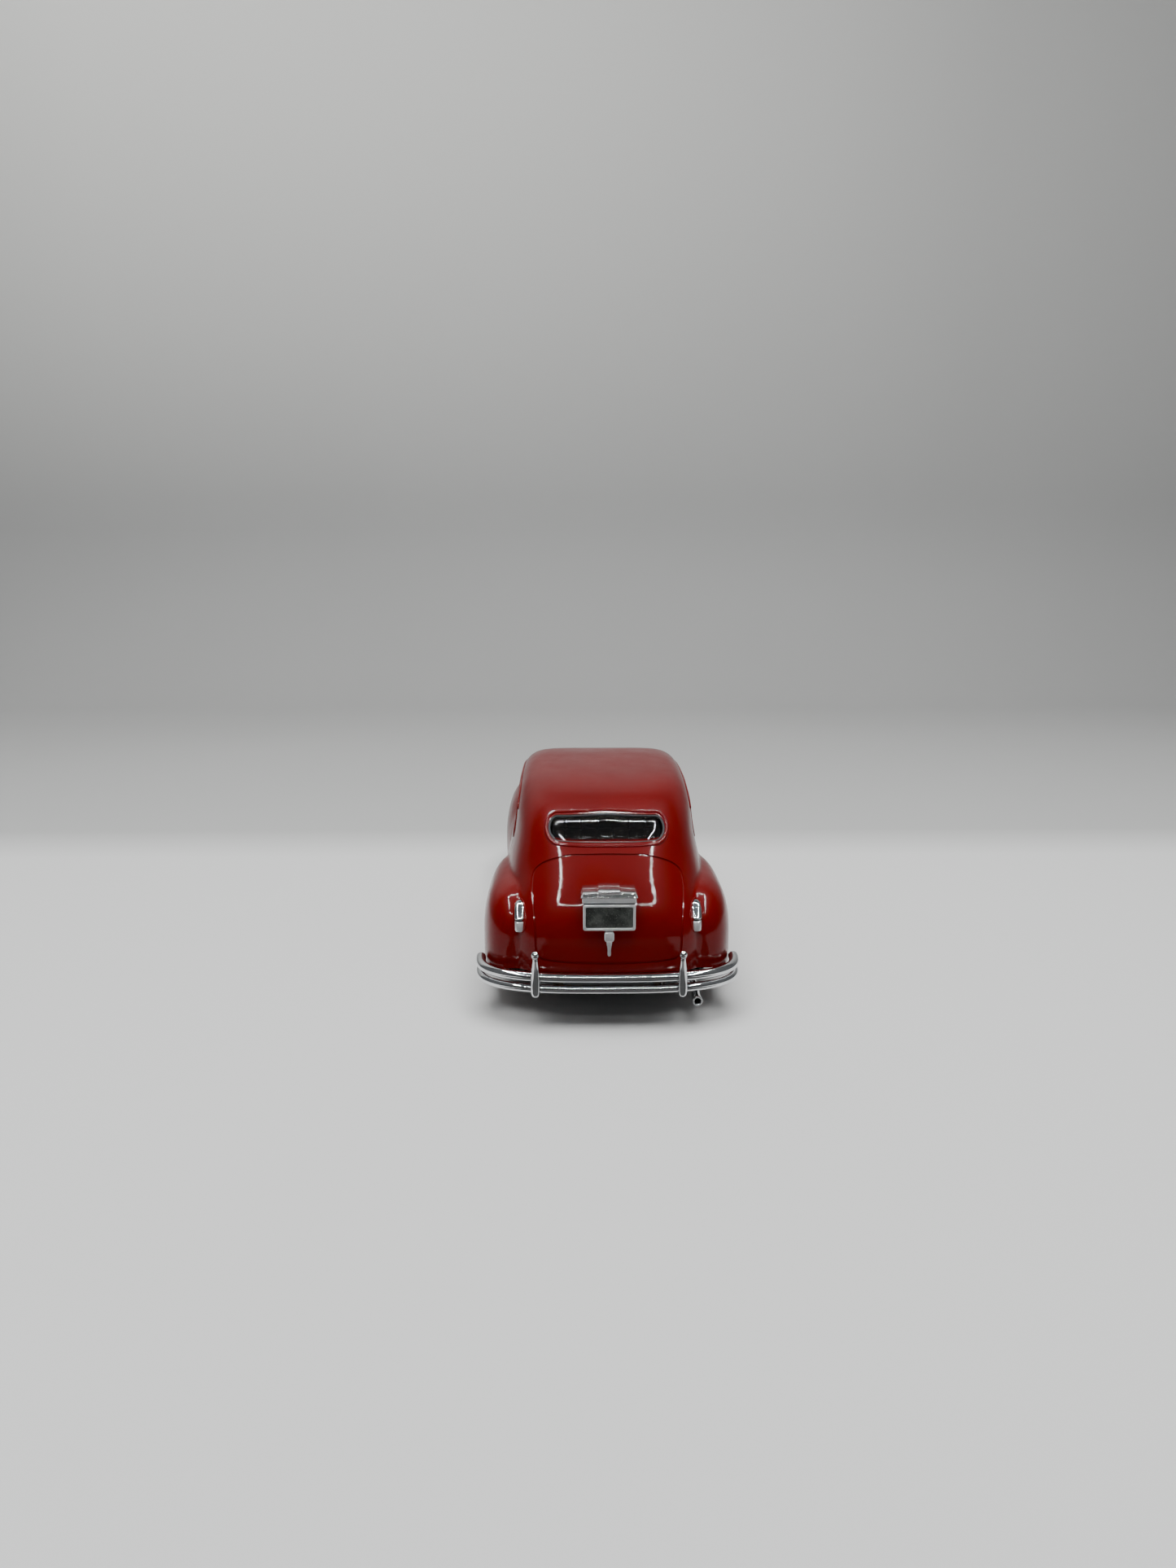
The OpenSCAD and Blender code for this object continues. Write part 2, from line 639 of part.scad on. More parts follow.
// ---- Friction motor --------------------------------------------------------
pressure = 25;
tooth_gap = 0.13;
addendum = 0.8 * gear_m;
dedendum = 1.05 * gear_m;
centre = (gear_teeth + pinion_teeth) * gear_m / 2;
lay_angle = 40;
lay = [rear_x + centre * cos(lay_angle), axle_z + centre * sin(lay_angle)];
fly = [lay[0] + centre, lay[1]];

function roll(r, base) = r <= base ? 0 : sqrt((r / base) ^ 2 - 1) * 180 / PI - acos(base / r);

module gear_outline(teeth) {
    pitch = teeth * gear_m / 2;
    base = pitch * cos(pressure);
    root = pitch - dedendum;
    half = 90 / teeth - tooth_gap / 4 / pitch * 180 / PI + roll(pitch, base);
    flank = concat([root], [for (r = steps(max(root + 0.02, base), pitch + addendum, 5)) r]);
    polygon([
        for (k = [0:teeth - 1], side = [-1, 1], i = [0:len(flank) - 1])
        let (
            r = flank[side < 0 ? i : len(flank) - 1 - i],
            a = 360 * k / teeth + side * (half - roll(r, base)))
        r * [cos(a), sin(a)]]);
}

// A gear across the car, between two distances from the centre plane.
module gear_at(at, teeth, turned, from, to) {
    translate([at[0], to, at[1]]) rotate([90, 0, 0]) rotate([0, 0, turned]) linear_extrude(to - from)
        gear_outline(teeth);
}
module rod_at(at, r, from, to) {
    translate([at[0], to, at[1]]) rotate([90, 0, 0]) cylinder(r = r, h = to - from);
}

side_y = 6.6;
side_t = 0.8;
rear_at = [rear_x, axle_z];
front_at = [front_x, axle_z];
pillars = [[-31.6, 16.6], [-11.6, 8], [-20.3, 18.85]];

module motor_side(y) {
    difference() {
        translate([0, y + side_t, 0]) rotate([90, 0, 0]) linear_extrude(side_t)
            polygon([
                [-34, plate_top], [-10.4, plate_top], [-10.4, 16],
                [-14, tub_z], [-30, tub_z], [-34, 16]]);
        rod_at(rear_at, axle_r + run_gap, y - 1, y + 2);
        rod_at(lay, shaft_r + run_gap, y - 1, y + 2);
        rod_at(fly, shaft_r + run_gap, y - 1, y + 2);
    }
}
module motor_side_left() color("gold") motor_side(side_y);
module motor_side_right() color("gold") motor_side(-side_y - side_t);
module motor_pillars() color("gold") for (p = pillars) rod_at(p, 0.8, -side_y, side_y);

module rear_axle() color("silver") rod_at(rear_at, axle_r, -track / 2 - 0.9, track / 2 + 0.9);
module front_axle() color("silver") rod_at(front_at, axle_r, -track / 2 - 0.9, track / 2 + 0.9);

module axle_gear() {
    color("gold") difference() {
        gear_at(rear_at, gear_teeth, lay_angle, 4, 5.9);
        rod_at(rear_at, axle_r + touch, 3, 7);
    }
}
module layshaft() {
    color("silver") {
        rod_at(lay, shaft_r, -7.9, 7.9);
        gear_at(lay, pinion_teeth, lay_angle + 180 + 180 / pinion_teeth, 3.8, 6.1);
        rod_at(lay, 1.1, -6.3, -5.6);
    }
}
module layshaft_gear() {
    color("gold") difference() {
        gear_at(lay, gear_teeth, 0, 1.4, 3.2);
        rod_at(lay, shaft_r + touch, 1, 4);
    }
}
module flywheel_shaft() {
    color("silver") {
        rod_at(fly, shaft_r, -7.9, 7.9);
        gear_at(fly, pinion_teeth, 180 + 180 / pinion_teeth, 1.2, 3.4);
        rod_at(fly, 1.1, 5.6, 6.3);
    }
}
module flywheel() {
    color("darkgray") translate([fly[0], 0, fly[1]]) rotate([90, 0, 0]) rotate_extrude($fn = 96)
        polygon([
            [shaft_r + touch, 0.4], [1.7, 0.4], [1.7, 1.6], [flywheel_r - 2, 1.6], [flywheel_r - 1.8, 0.8],
            [flywheel_r - 0.3, 0.8], [flywheel_r, 1.1], [flywheel_r, 5.1], [flywheel_r - 0.3, 5.4],
            [flywheel_r - 1.8, 5.4], [flywheel_r - 2, 4.6], [1.7, 4.6], [1.7, 6.2], [shaft_r + touch, 6.2]]);
}

// ---- Wheels ----------------------------------------------------------------
module wheel(x, side) {
    half = tyre_w / 2;
    color(chrome) translate([x, side * track / 2, axle_z]) rotate([-90 * side, 0, 0]) rotate_extrude($fn = 72)
        polygon([
            [axle_r + touch, -4.3], [1.8, -4.3], [1.8, -0.6], [rim_r - 0.7, -0.6], [rim_r - 0.7, -half],
            [rim_r, -half], [rim_r, half - 0.2], [rim_r - 0.5, half - 0.2], [rim_r - 0.8, 0.5], [3.5, 0.5],
            [3.3, 1.3], [2.6, 1.75], [1.6, 1.98], [0, 2.05], [0, 1], [axle_r + touch, 1]]);
}
module tyre(x, side) {
    half = tyre_w / 2;
    sweep = [for (a = [0:15:90]) [tyre_r - 1.5 + 1.5 * cos(90 - a), half - 1.1 + 1.1 * sin(90 - a)]];
    groove = [[tyre_r, 0.7], [tyre_r - 0.35, 0.6], [tyre_r - 0.35, 0.4], [tyre_r, 0.3]];
    upper = concat([[rim_r + touch, half - 0.25], [rim_r + 0.5, half]], sweep, groove);
    lower = [for (k = [len(upper) - 1:-1:0]) [upper[k][0], -upper[k][1]]];
    color("black") translate([x, side * track / 2, axle_z]) rotate([-90 * side, 0, 0])
        rotate_extrude($fn = 96) polygon(concat(upper, lower));
}
module rear_wheel_left() wheel(rear_x, 1);
module rear_wheel_right() wheel(rear_x, -1);
module front_wheel_left() wheel(front_x, 1);
module front_wheel_right() wheel(front_x, -1);
module rear_tyre_left() tyre(rear_x, 1);
module rear_tyre_right() tyre(rear_x, -1);
module front_tyre_left() tyre(front_x, 1);
module front_tyre_right() tyre(front_x, -1);

body_shell();
windshield_pane();
rear_window_pane();
side_pane_left();
side_pane_right();
rear_bumper();
front_bumper();
radiator_grille();
hood_ornament();
plate_bracket();
trunk_handle();
tail_lamp_left();
tail_lamp_right();
headlamp_bezel_left();
headlamp_bezel_right();
headlamp_lens_left();
headlamp_lens_right();
exhaust_pipe();
chassis_plate();
chassis_screws();
interior_tub();
steering_wheel();
motor_side_left();
motor_side_right();
motor_pillars();
rear_axle();
axle_gear();
layshaft();
layshaft_gear();
flywheel_shaft();
flywheel();
front_axle();
rear_wheel_left();
rear_wheel_right();
front_wheel_left();
front_wheel_right();
rear_tyre_left();
rear_tyre_right();
front_tyre_left();
front_tyre_right();
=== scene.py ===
import math
from contextlib import contextmanager
from functools import partial

import bmesh
import bpy
import numpy as np
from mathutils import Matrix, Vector


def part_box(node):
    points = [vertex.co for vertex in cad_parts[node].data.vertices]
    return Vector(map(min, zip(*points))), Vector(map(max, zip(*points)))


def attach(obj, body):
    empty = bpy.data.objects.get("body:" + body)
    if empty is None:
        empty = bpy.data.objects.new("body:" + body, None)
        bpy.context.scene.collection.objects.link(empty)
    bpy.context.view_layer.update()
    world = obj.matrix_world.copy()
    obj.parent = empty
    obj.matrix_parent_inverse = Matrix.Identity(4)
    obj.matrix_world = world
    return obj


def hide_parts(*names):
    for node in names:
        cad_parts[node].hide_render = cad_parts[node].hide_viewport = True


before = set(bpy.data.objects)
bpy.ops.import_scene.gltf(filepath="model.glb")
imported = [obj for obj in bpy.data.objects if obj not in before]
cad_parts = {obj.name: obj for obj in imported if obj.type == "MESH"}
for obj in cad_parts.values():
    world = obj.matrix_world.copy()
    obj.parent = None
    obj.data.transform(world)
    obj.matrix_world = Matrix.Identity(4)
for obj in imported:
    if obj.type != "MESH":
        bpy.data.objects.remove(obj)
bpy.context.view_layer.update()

MM = 0.001
CAR = "car"
UP = np.array([0, 0, 1.0])
ALONG = (1, 0, 0)


def span(node):
    """Lowest and highest corners of a CAD node at rest, in millimetres."""
    low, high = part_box(node)
    return np.array(low) / MM, np.array(high) / MM


def middle(node):
    low, high = span(node)
    return (low + high) / 2


# ---------------------------------------------------------------- camera
def make_camera():
    data = bpy.data.cameras.new("view_camera")
    data.lens = 24.97
    data.sensor_width = 36.0
    data.sensor_fit = "AUTO"
    data.clip_start = 0.005
    data.clip_end = 20.0
    camera = bpy.data.objects.new("view_camera", data)
    bpy.context.scene.collection.objects.link(camera)
    camera.location = (-0.241, 0.0061, 0.0822)
    down = math.radians(11.75)
    turn = math.radians(-0.75)
    look = Vector((math.cos(down) * math.cos(turn), math.cos(down) * math.sin(turn), -math.sin(down)))
    camera.rotation_euler = look.to_track_quat("-Z", "Y").to_euler()
    bpy.context.scene.camera = camera


# ---------------------------------------------------------------- shader helpers
class Shader:
    """A Principled material built from short calls."""

    def __init__(self, name, **sockets):
        self.material = bpy.data.materials.new(name)
        self.material.use_nodes = True
        self.tree = self.material.node_tree
        self.bsdf = self.tree.nodes["Principled BSDF"]
        self.where = self.node("ShaderNodeTexCoord").outputs["Object"]
        for key, value in sockets.items():
            self.feed(self.bsdf.inputs[key.replace("_", " ")], value)

    def feed(self, target, value):
        """Links an output to an input, or sets the input to a plain value."""
        if isinstance(value, bpy.types.NodeSocket):
            self.tree.links.new(value, target)
        else:
            target.default_value = value

    def surface(self, colour, roughness=None, normal=None):
        for socket, value in (("Base Color", colour), ("Roughness", roughness), ("Normal", normal)):
            if value is not None:
                self.feed(self.bsdf.inputs[socket], value)
        return self.material

    def node(self, kind, inputs=None, **settings):
        made = self.tree.nodes.new(kind)
        for key, value in settings.items():
            setattr(made, key, value)
        for key, value in (inputs or {}).items():
            self.feed(made.inputs[key], value)
        return made

    def stretched(self, stretch):
        return self.node("ShaderNodeMapping", {"Vector": self.where, "Scale": stretch}).outputs[0]

    def noise(self, scale, detail=3.0, rough=0.5, stretch=(1, 1, 1)):
        place = self.stretched(stretch)
        inputs = {"Vector": place, "Scale": scale, "Detail": detail, "Roughness": rough}
        return self.node("ShaderNodeTexNoise", inputs).outputs["Fac"]

    def cells(self, scale):
        place = self.stretched((1, 1, 1))
        return self.node("ShaderNodeTexVoronoi", {"Vector": place, "Scale": scale}).outputs["Distance"]

    def fit(self, value, low, high, to_low, to_high):
        inputs = {"Value": value, "From Min": low, "From Max": high, "To Min": to_low, "To Max": to_high}
        return self.node("ShaderNodeMapRange", inputs).outputs[0]

    def uneven(self, scale, low, high, detail=3, top=0.75):
        """Roughness that wanders between two values."""
        return self.fit(self.noise(scale, detail, 0.6), 0.3, top, low, high)

    def ramp(self, value, stops):
        made = self.node("ShaderNodeValToRGB", {"Fac": value})
        band = made.color_ramp
        while len(band.elements) < len(stops):
            band.elements.new(0.5)
        for element, (place, colour) in zip(band.elements, stops):
            element.position = place
            element.color = (*colour, 1.0)
        return made.outputs["Color"]

    def mix(self, factor, one, two):
        made = self.node("ShaderNodeMix", data_type="RGBA", blend_type="MIX")
        for index, value in ((0, factor), (6, one), (7, two)):
            self.feed(made.inputs[index], (*value, 1.0) if isinstance(value, tuple) else value)
        return made.outputs[2]

    def math(self, operation, one, two):
        return self.node("ShaderNodeMath", {0: one, 1: two}, operation=operation).outputs[0]

    def bump(self, height, distance, strength):
        inputs = {"Height": height, "Distance": distance, "Strength": strength}
        return self.node("ShaderNodeBump", inputs).outputs["Normal"]


def scaled(tone, by):
    return tuple(v * by for v in tone)


def paint_material():
    s = Shader("red_enamel", Coat_Weight=0.55, Coat_Roughness=0.045, Coat_IOR=1.38, Specular_IOR_Level=0.03)
    broad = s.noise(55, 3, 0.55)
    fine = s.noise(900, 2, 0.5)
    red = s.ramp(broad, [(0.3, (0.115, 0.0, 0.0)), (0.55, (0.13, 0.0, 0.0)), (0.8, (0.145, 0.0003, 0.0002))])
    colour = s.mix(s.fit(fine, 0.35, 0.65, 0.0, 0.2), red, (0.105, 0.0, 0.0))
    smear = s.uneven(130, 0.3, 0.45, 4)
    peel = s.noise(620, 2, 0.4)
    specks = s.fit(s.cells(1500), 0.0, 0.12, 1.0, 0.0)
    rough = s.math("ADD", peel, s.math("MULTIPLY", specks, 0.35))
    s.surface(colour, smear, s.bump(rough, 0.00001, 0.32))
    ripple = s.math("ADD", s.noise(300, 2, 0.4), s.math("MULTIPLY", s.noise(2100, 2, 0.5), 0.45))
    s.feed(s.bsdf.inputs["Coat Normal"], s.bump(ripple, 0.00006, 0.4))
    return s.material


def chrome_material(name="bright_plating", tone=(0.72, 0.73, 0.745), dull=0.0):
    s = Shader(name, Metallic=1.0)
    stain = s.ramp(s.noise(240, 4, 0.6), [(0.3, scaled(tone, 0.9)), (0.6, tone), (0.85, scaled(tone, 1.08))])
    rough = s.uneven(700, 0.02 + dull, 0.1 + dull)
    ripple = s.noise(420, 2, 0.5)
    pits = s.fit(s.cells(2600), 0.0, 0.1, 1.0, 0.0)
    height = s.math("SUBTRACT", ripple, s.math("MULTIPLY", pits, 0.4))
    return s.surface(stain, rough, s.bump(height, 0.00003, 0.55))


def clear_material(name="clear_glazing", tint=(0.93, 0.96, 0.97)):
    s = Shader(name, Transmission_Weight=1.0, IOR=1.49)
    haze = s.ramp(s.noise(160, 4, 0.6), [(0.3, scaled(tint, 0.95)), (0.75, tint)])
    rough = s.fit(s.noise(300, 4, 0.6), 0.4, 0.8, 0.0, 0.05)
    return s.surface(haze, rough, s.bump(s.noise(180, 2, 0.4), 0.00002, 0.25))


def rubber_material(name, tone):
    s = Shader(name, Specular_IOR_Level=0.4)
    dark = (tone, tone, tone * 1.02)
    grey = (tone * 3.4, tone * 3.3, tone * 3.1)
    dust = s.ramp(s.noise(220, 5, 0.65), [(0.42, dark), (0.7, scaled(dark, 1.5)), (0.9, grey)])
    rough = s.uneven(500, 0.55, 0.8, 3, 0.8)
    return s.surface(dust, rough, s.bump(s.noise(2400, 3, 0.6), 0.00002, 0.4))


def chassis_material():
    s = Shader("chassis_enamel", Specular_IOR_Level=0.5)
    tones = [(0.35, (0.012, 0.012, 0.013)), (0.6, (0.02, 0.02, 0.021)), (0.85, (0.04, 0.039, 0.037))]
    colour = s.ramp(s.noise(90, 4, 0.6), tones)
    return s.surface(colour, s.uneven(300, 0.34, 0.6), s.bump(s.noise(1500, 3, 0.6), 0.00003, 0.45))


def plastic_material(name, dark, light, rough, grain=1800, depth=0.35):
    s = Shader(name, Specular_IOR_Level=0.45)
    colour = s.ramp(s.noise(140, 4, 0.6), [(0.3, dark), (0.75, light)])
    return s.surface(colour, s.uneven(420, *rough), s.bump(s.noise(grain, 2, 0.5), 0.00003, depth))


def metal_material(name, dark, light, rough, stretch):
    """Drawn or turned metal, with its fine lines along the squeezed axis of stretch."""
    s = Shader(name, Metallic=1.0)
    stain = s.ramp(s.noise(260, 5, 0.62), [(0.3, dark), (0.6, light), (0.9, scaled(light, 1.1))])
    return s.surface(stain, s.uneven(600, *rough), s.bump(s.noise(3200, 3, 0.6, stretch), 0.00002, 0.3))


def satin_material():
    """Thin plating over a pale ground: it keeps some whiteness where it mirrors something dark."""
    s = Shader("satin_plating", Metallic=0.62, Specular_IOR_Level=0.6)
    tones = [(0.3, (0.6, 0.61, 0.62)), (0.6, (0.74, 0.75, 0.76)), (0.85, (0.8, 0.81, 0.82))]
    colour = s.ramp(s.noise(260, 4, 0.6), tones)
    return s.surface(colour, s.uneven(700, 0.06, 0.2), s.bump(s.noise(480, 2, 0.5), 0.00004, 0.55))


def plate_painted_reflection_material():
    """Dark grey painted in for the dark reflection of the plating, with paler flecks."""
    s = Shader("plate_painted_dark_reflection", Specular_IOR_Level=0.5)
    # These dark greys are a painted reflection of the dark room in the plating.
    tones = [(0.38, (0.014, 0.017, 0.014)), (0.52, (0.035, 0.04, 0.035)), (0.7, (0.085, 0.09, 0.08))]
    cloud = s.ramp(s.noise(420, 4, 0.6), tones)
    flecks = s.fit(s.noise(3400, 3, 0.6), 0.58, 0.74, 0.0, 0.6)
    colour = s.mix(flecks, cloud, (0.22, 0.23, 0.22))
    return s.surface(colour, s.uneven(800, 0.3, 0.55), s.bump(s.noise(1900, 2, 0.5), 0.00003, 0.5))


MATERIALS = {}


def make_materials():
    m = MATERIALS
    m["paint"] = paint_material()
    m["chrome"] = chrome_material()
    m["plate"] = plate_painted_reflection_material()
    m["reflector"] = chrome_material("lamp_reflector", (0.8, 0.8, 0.82), 0.02)
    m["clear"] = clear_material()
    m["lens"] = clear_material("lamp_lens", (0.95, 0.95, 0.93))
    m["gasket"] = rubber_material("black_gasket", 0.01)
    m["tyre"] = rubber_material("tyre_rubber", 0.016)
    m["chassis"] = chassis_material()
    # This black is the colour of the real dark parts, and also of the painted dark reflection cards.
    m["dark"] = plastic_material("black_liner_and_painted_reflection", (0.006, 0.006, 0.006), (0.014, 0.014, 0.014), (0.5, 0.7))
    # This grey is used only for a painted reflection card.
    m["shade"] = plastic_material("grey_painted_reflection_card", (0.06, 0.055, 0.055), (0.075, 0.07, 0.07), (0.6, 0.8))
    m["satin"] = satin_material()
    # The rear pane's grey tint is painted shade: it darkens the view into the cabin.
    m["painted_shade_glazing"] = clear_material("rear_glazing_painted_shade", (0.5, 0.53, 0.55))
    tan, pale_tan = (0.15, 0.105, 0.07), (0.21, 0.15, 0.105)
    m["seat"] = plastic_material("seat_plastic", tan, pale_tan, (0.45, 0.65), 2600, 0.5)
    ivory, pale_ivory = (0.5, 0.45, 0.33), (0.58, 0.53, 0.41)
    m["ivory"] = plastic_material("ivory_plastic", ivory, pale_ivory, (0.25, 0.4), 900, 0.2)
    steel, pale_steel = (0.36, 0.36, 0.37), (0.55, 0.55, 0.56)
    m["steel"] = metal_material("plain_steel", steel, pale_steel, (0.2, 0.4), (1, 0.06, 1))
    brass, pale_brass = (0.42, 0.28, 0.1), (0.68, 0.49, 0.22)
    m["brass"] = metal_material("stamped_brass", brass, pale_brass, (0.25, 0.45), (0.06, 1, 1))
    iron, pale_iron = (0.14, 0.14, 0.145), (0.26, 0.26, 0.27)
    m["iron"] = metal_material("turned_iron", iron, pale_iron, (0.3, 0.5), (1, 1, 0.06))


# ---------------------------------------------------------------- body surface
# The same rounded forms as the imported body: a hull for hood, cabin and trunk,
# joined smoothly to four fenders. All lengths here are in millimetres.
TAIL, NOSE, WAIST = -59.0, 58.5, 12.0
WALL = 1.3
TOP_LINE = [
    (TAIL, 13.6), (-58.6, 17.5), (-57, 21.5), (-54, 25.2), (-50, 28.3), (-46, 30.9), (-42, 33.5),
    (-38, 35.6), (-33, 37.4), (-26, 38.9), (-18, 39.7), (-8, 40), (0, 39.8), (7, 39.2), (11, 38.2),
    (14.5, 36.2), (22.5, 28.8), (27, 28), (36, 27.6), (45, 26.7), (52, 24.6), (56, 21.3), (58, 17),
    (NOSE, 13.6)]
PLAN_LINE = [
    (TAIL, 0), (-58.5, 8), (-57.5, 12.5), (-56, 15), (-53, 17), (-48, 18.2), (-40, 19.2),
    (-30, 20), (-20, 20.4), (-8, 20.6), (12, 20.6), (20, 19), (28, 16), (36, 14), (45, 12.5), (52, 11),
    (56, 8.5), (58, 5), (NOSE, 0)]
SQUARE_LINE = [
    (TAIL, 2.5), (-48, 3), (-35, 5), (-22, 7), (8, 7), (14, 5.5), (21, 3.5), (30, 2.6), (NOSE, 2.4)]
EDGE_LINE = [
    (TAIL, 10.3), (-56, 10), (-50, 8.8), (-44, 7), (-30, 6.8), (0, 6.8), (40, 6.8), (46, 7.6), (50, 8.8),
    (NOSE, 9.4)]
REAR_FENDER = ((-37, 15.2, 11.5), (24, 17.5, 8.2, 8.2, 11.9, 14), 3.1)
FRONT_FENDER = ((40, 15.4, 11.5), (17.3, 30, 8.2, 7.5, 13.7, 14), 2.5)


def turned(x):
    middle, half = (NOSE + TAIL) / 2, (NOSE - TAIL) / 2
    return np.degrees(np.arccos(np.clip((middle - x) / half, -1, 1)))


class Outline:
    """A smooth line through the given points, as a function of x."""

    def __init__(self, points):
        self.at = np.array([turned(p[0]) for p in points])
        self.value = np.array([p[1] for p in points], float)
        last = len(points) - 1
        before = [max(0, i - 1) for i in range(last + 1)]
        after = [min(last, i + 1) for i in range(last + 1)]
        self.slope = (self.value[after] - self.value[before]) / (self.at[after] - self.at[before])

    def __call__(self, x):
        a = turned(x)
        i = np.clip(np.searchsorted(self.at, a, side="right") - 1, 0, len(self.at) - 2)
        width = self.at[i + 1] - self.at[i]
        s = np.clip((a - self.at[i]) / width, 0, 1)
        start = (2 * s**3 - 3 * s**2 + 1) * self.value[i] + (s**3 - 2 * s**2 + s) * self.slope[i] * width
        end = (3 * s**2 - 2 * s**3) * self.value[i + 1] + (s**3 - s**2) * self.slope[i + 1] * width
        return start + end


top_z = Outline(TOP_LINE)
plan_w = Outline(PLAN_LINE)
squareness = Outline(SQUARE_LINE)
edge_z = Outline(EDGE_LINE)


def hull_field(p):
    x, up = p[..., 0], p[..., 2]
    s = np.clip((up - 17) / 14, 0, 1)
    width = np.maximum(0.01, plan_w(x)) * (1 - 0.11 * s * s * (3 - 2 * s))
    n = squareness(x)
    height = np.where(up > WAIST, top_z(x) - WAIST, 22.0)
    y = np.abs(p[..., 1]) + 0.001
    z = np.abs(up - WAIST) + 0.001
    u = (y / width) ** n
    v = (z / height) ** n
    value = (u + v - 1) / np.maximum(0.03, n * np.hypot(u / y, v / z))
    return np.where((x <= TAIL) | (x >= NOSE), 10.0, value)


def fender_field(p, fender):
    middle, reach, n = fender
    q = np.stack([p[..., 0], np.abs(p[..., 1]), p[..., 2]], -1) - np.array(middle, float)
    sides = [np.where(q[..., i] > 0, reach[2 * i], reach[2 * i + 1]) for i in range(3)]
    r = np.stack(sides, -1)
    t = (np.abs(q) + 0.001) / r
    steep = n * np.sqrt(((t ** (n - 1) / r) ** 2).sum(-1))
    return ((t**n).sum(-1) - 1) / np.maximum(0.03, steep)


def joined(a, b, radius):
    h = np.maximum(radius - np.abs(a - b), 0) / radius
    return np.minimum(a, b) - h * h * radius / 4


def body_field(p):
    rear = joined(hull_field(p), fender_field(p, REAR_FENDER), 0.6)
    return joined(rear, fender_field(p, FRONT_FENDER), 3.0)


def body_normal(p):
    g = np.stack([body_field(p + step) - body_field(p - step) for step in np.eye(3) * 0.03], -1)
    return g / np.maximum(1e-9, np.linalg.norm(g, axis=-1, keepdims=True))


def cast(origins, directions, level=0.0, reach=80.0):
    """The point where each ray from inside the body reaches a level of its field."""
    low = np.zeros(origins.shape[:-1])
    high = np.full(origins.shape[:-1], reach)
    for _ in range(26):
        middle = (low + high) / 2
        inside = body_field(origins + directions * middle[..., None]) < level
        low = np.where(inside, middle, low)
        high = np.where(inside, high, middle)
    return origins + directions * high[..., None]


def cast_from(start, direction):
    origins = np.stack(np.broadcast_arrays(*start), -1).astype(float)
    return cast(origins, np.broadcast_to(np.array(direction, float), origins.shape))


def on_tail(y, z):
    return cast_from((-20.0, y, z), (-1, 0, 0))


def on_front(y, z, start=0.0):
    return cast_from((start, y, z), (1, 0, 0))


def on_side(x, z, side=1):
    return cast_from((x, 0.0, z), (0, side, 0))


def on_top(x, y):
    return cast_from((x, y, 14.0), (0, 0, 1))


# ---------------------------------------------------------------- mesh helpers
def run_along(points):
    """The distance travelled at each point of a line."""
    return np.concatenate([[0], np.cumsum(np.linalg.norm(np.diff(points, axis=0), axis=1))])


def at_runs(points, run, places):
    return np.stack([np.interp(places, run, points[:, k]) for k in range(points.shape[1])], -1)


def smooth_path(points, step=0.5, closed=False):
    """Catmull-Rom curve through the points, resampled evenly."""
    p = np.array(points, float)
    n = len(p)
    dense = []
    for i in range(n if closed else n - 1):
        if closed:
            a, b, c, d = p[i - 1], p[i], p[(i + 1) % n], p[(i + 2) % n]
        else:
            a, b, c, d = p[max(0, i - 1)], p[i], p[i + 1], p[min(n - 1, i + 2)]
        for t in np.linspace(0, 1, 24, endpoint=False):
            square, cube = (2 * a - 5 * b + 4 * c - d) * t**2, (3 * b - 3 * c + d - a) * t**3
            dense.append(0.5 * (2 * b + (c - a) * t + square + cube))
    dense.append(p[0] if closed else p[-1])
    dense = np.array(dense)
    run = run_along(dense)
    count = max(3, int(round(run[-1] / step)))
    even = np.linspace(0, run[-1], count + 1)
    return at_runs(dense, run, even[:-1] if closed else even)


def spread(outline, step):
    """A closed outline resampled at an even step."""
    p = np.vstack([outline, outline[:1]])
    run = run_along(p)
    even = np.linspace(0, run[-1], max(8, int(run[-1] / step)) + 1)[:-1]
    return at_runs(p, run, even)


def linked(name, data):
    obj = bpy.data.objects.new(name, data)
    bpy.context.scene.collection.objects.link(obj)
    return obj


def set_smooth(data, smooth=True):
    for polygon in data.polygons:
        polygon.use_smooth = smooth


def mesh_object(name, vertices, faces, material, body=CAR, smooth=True, angle=None):
    data = bpy.data.meshes.new(name)
    data.from_pydata([tuple(v) for v in np.asarray(vertices) * MM], [], [tuple(f) for f in faces])
    data.update()
    obj = linked(name, data)
    finish_object(obj, material, body, smooth, angle)
    return obj


def finish_object(obj, material, body=CAR, smooth=True, angle=None):
    if material is not None:
        obj.data.materials.clear()
        obj.data.materials.append(MATERIALS[material])
    set_smooth(obj.data, smooth)
    if angle is not None:
        obj.data.set_sharp_from_angle(angle=math.radians(angle))
    if body is not None:
        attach(obj, body)


@contextmanager
def editing(obj):
    """The object's mesh, open for edits that are written back at the end."""
    work = bmesh.new()
    work.from_mesh(obj.data)
    yield work
    work.to_mesh(obj.data)
    work.free()


def outward(obj):
    with editing(obj) as work:
        bmesh.ops.recalc_face_normals(work, faces=work.faces)


def solid(name, vertices, faces, material, slot="bright_trim", angle=None, body=CAR):
    """A closed piece with its faces turned outward."""
    obj = mesh_object(name, vertices, faces, material, body, True, angle)
    outward(obj)
    return obj


def ring_faces(rings, count, closed=False, spans=None):
    """Quads between rings of count points. closed joins the last ring to the first, and
    spans smaller than count leaves each ring open."""
    faces = []
    for r in range(rings if closed else rings - 1):
        s = (r + 1) % rings
        for k in range(spans or count):
            m = (k + 1) % count
            faces.append((r * count + k, r * count + m, s * count + m, s * count + k))
    return faces


def end_caps(rings, count):
    return [tuple(range(count))[::-1], tuple((rings - 1) * count + k for k in range(count))]


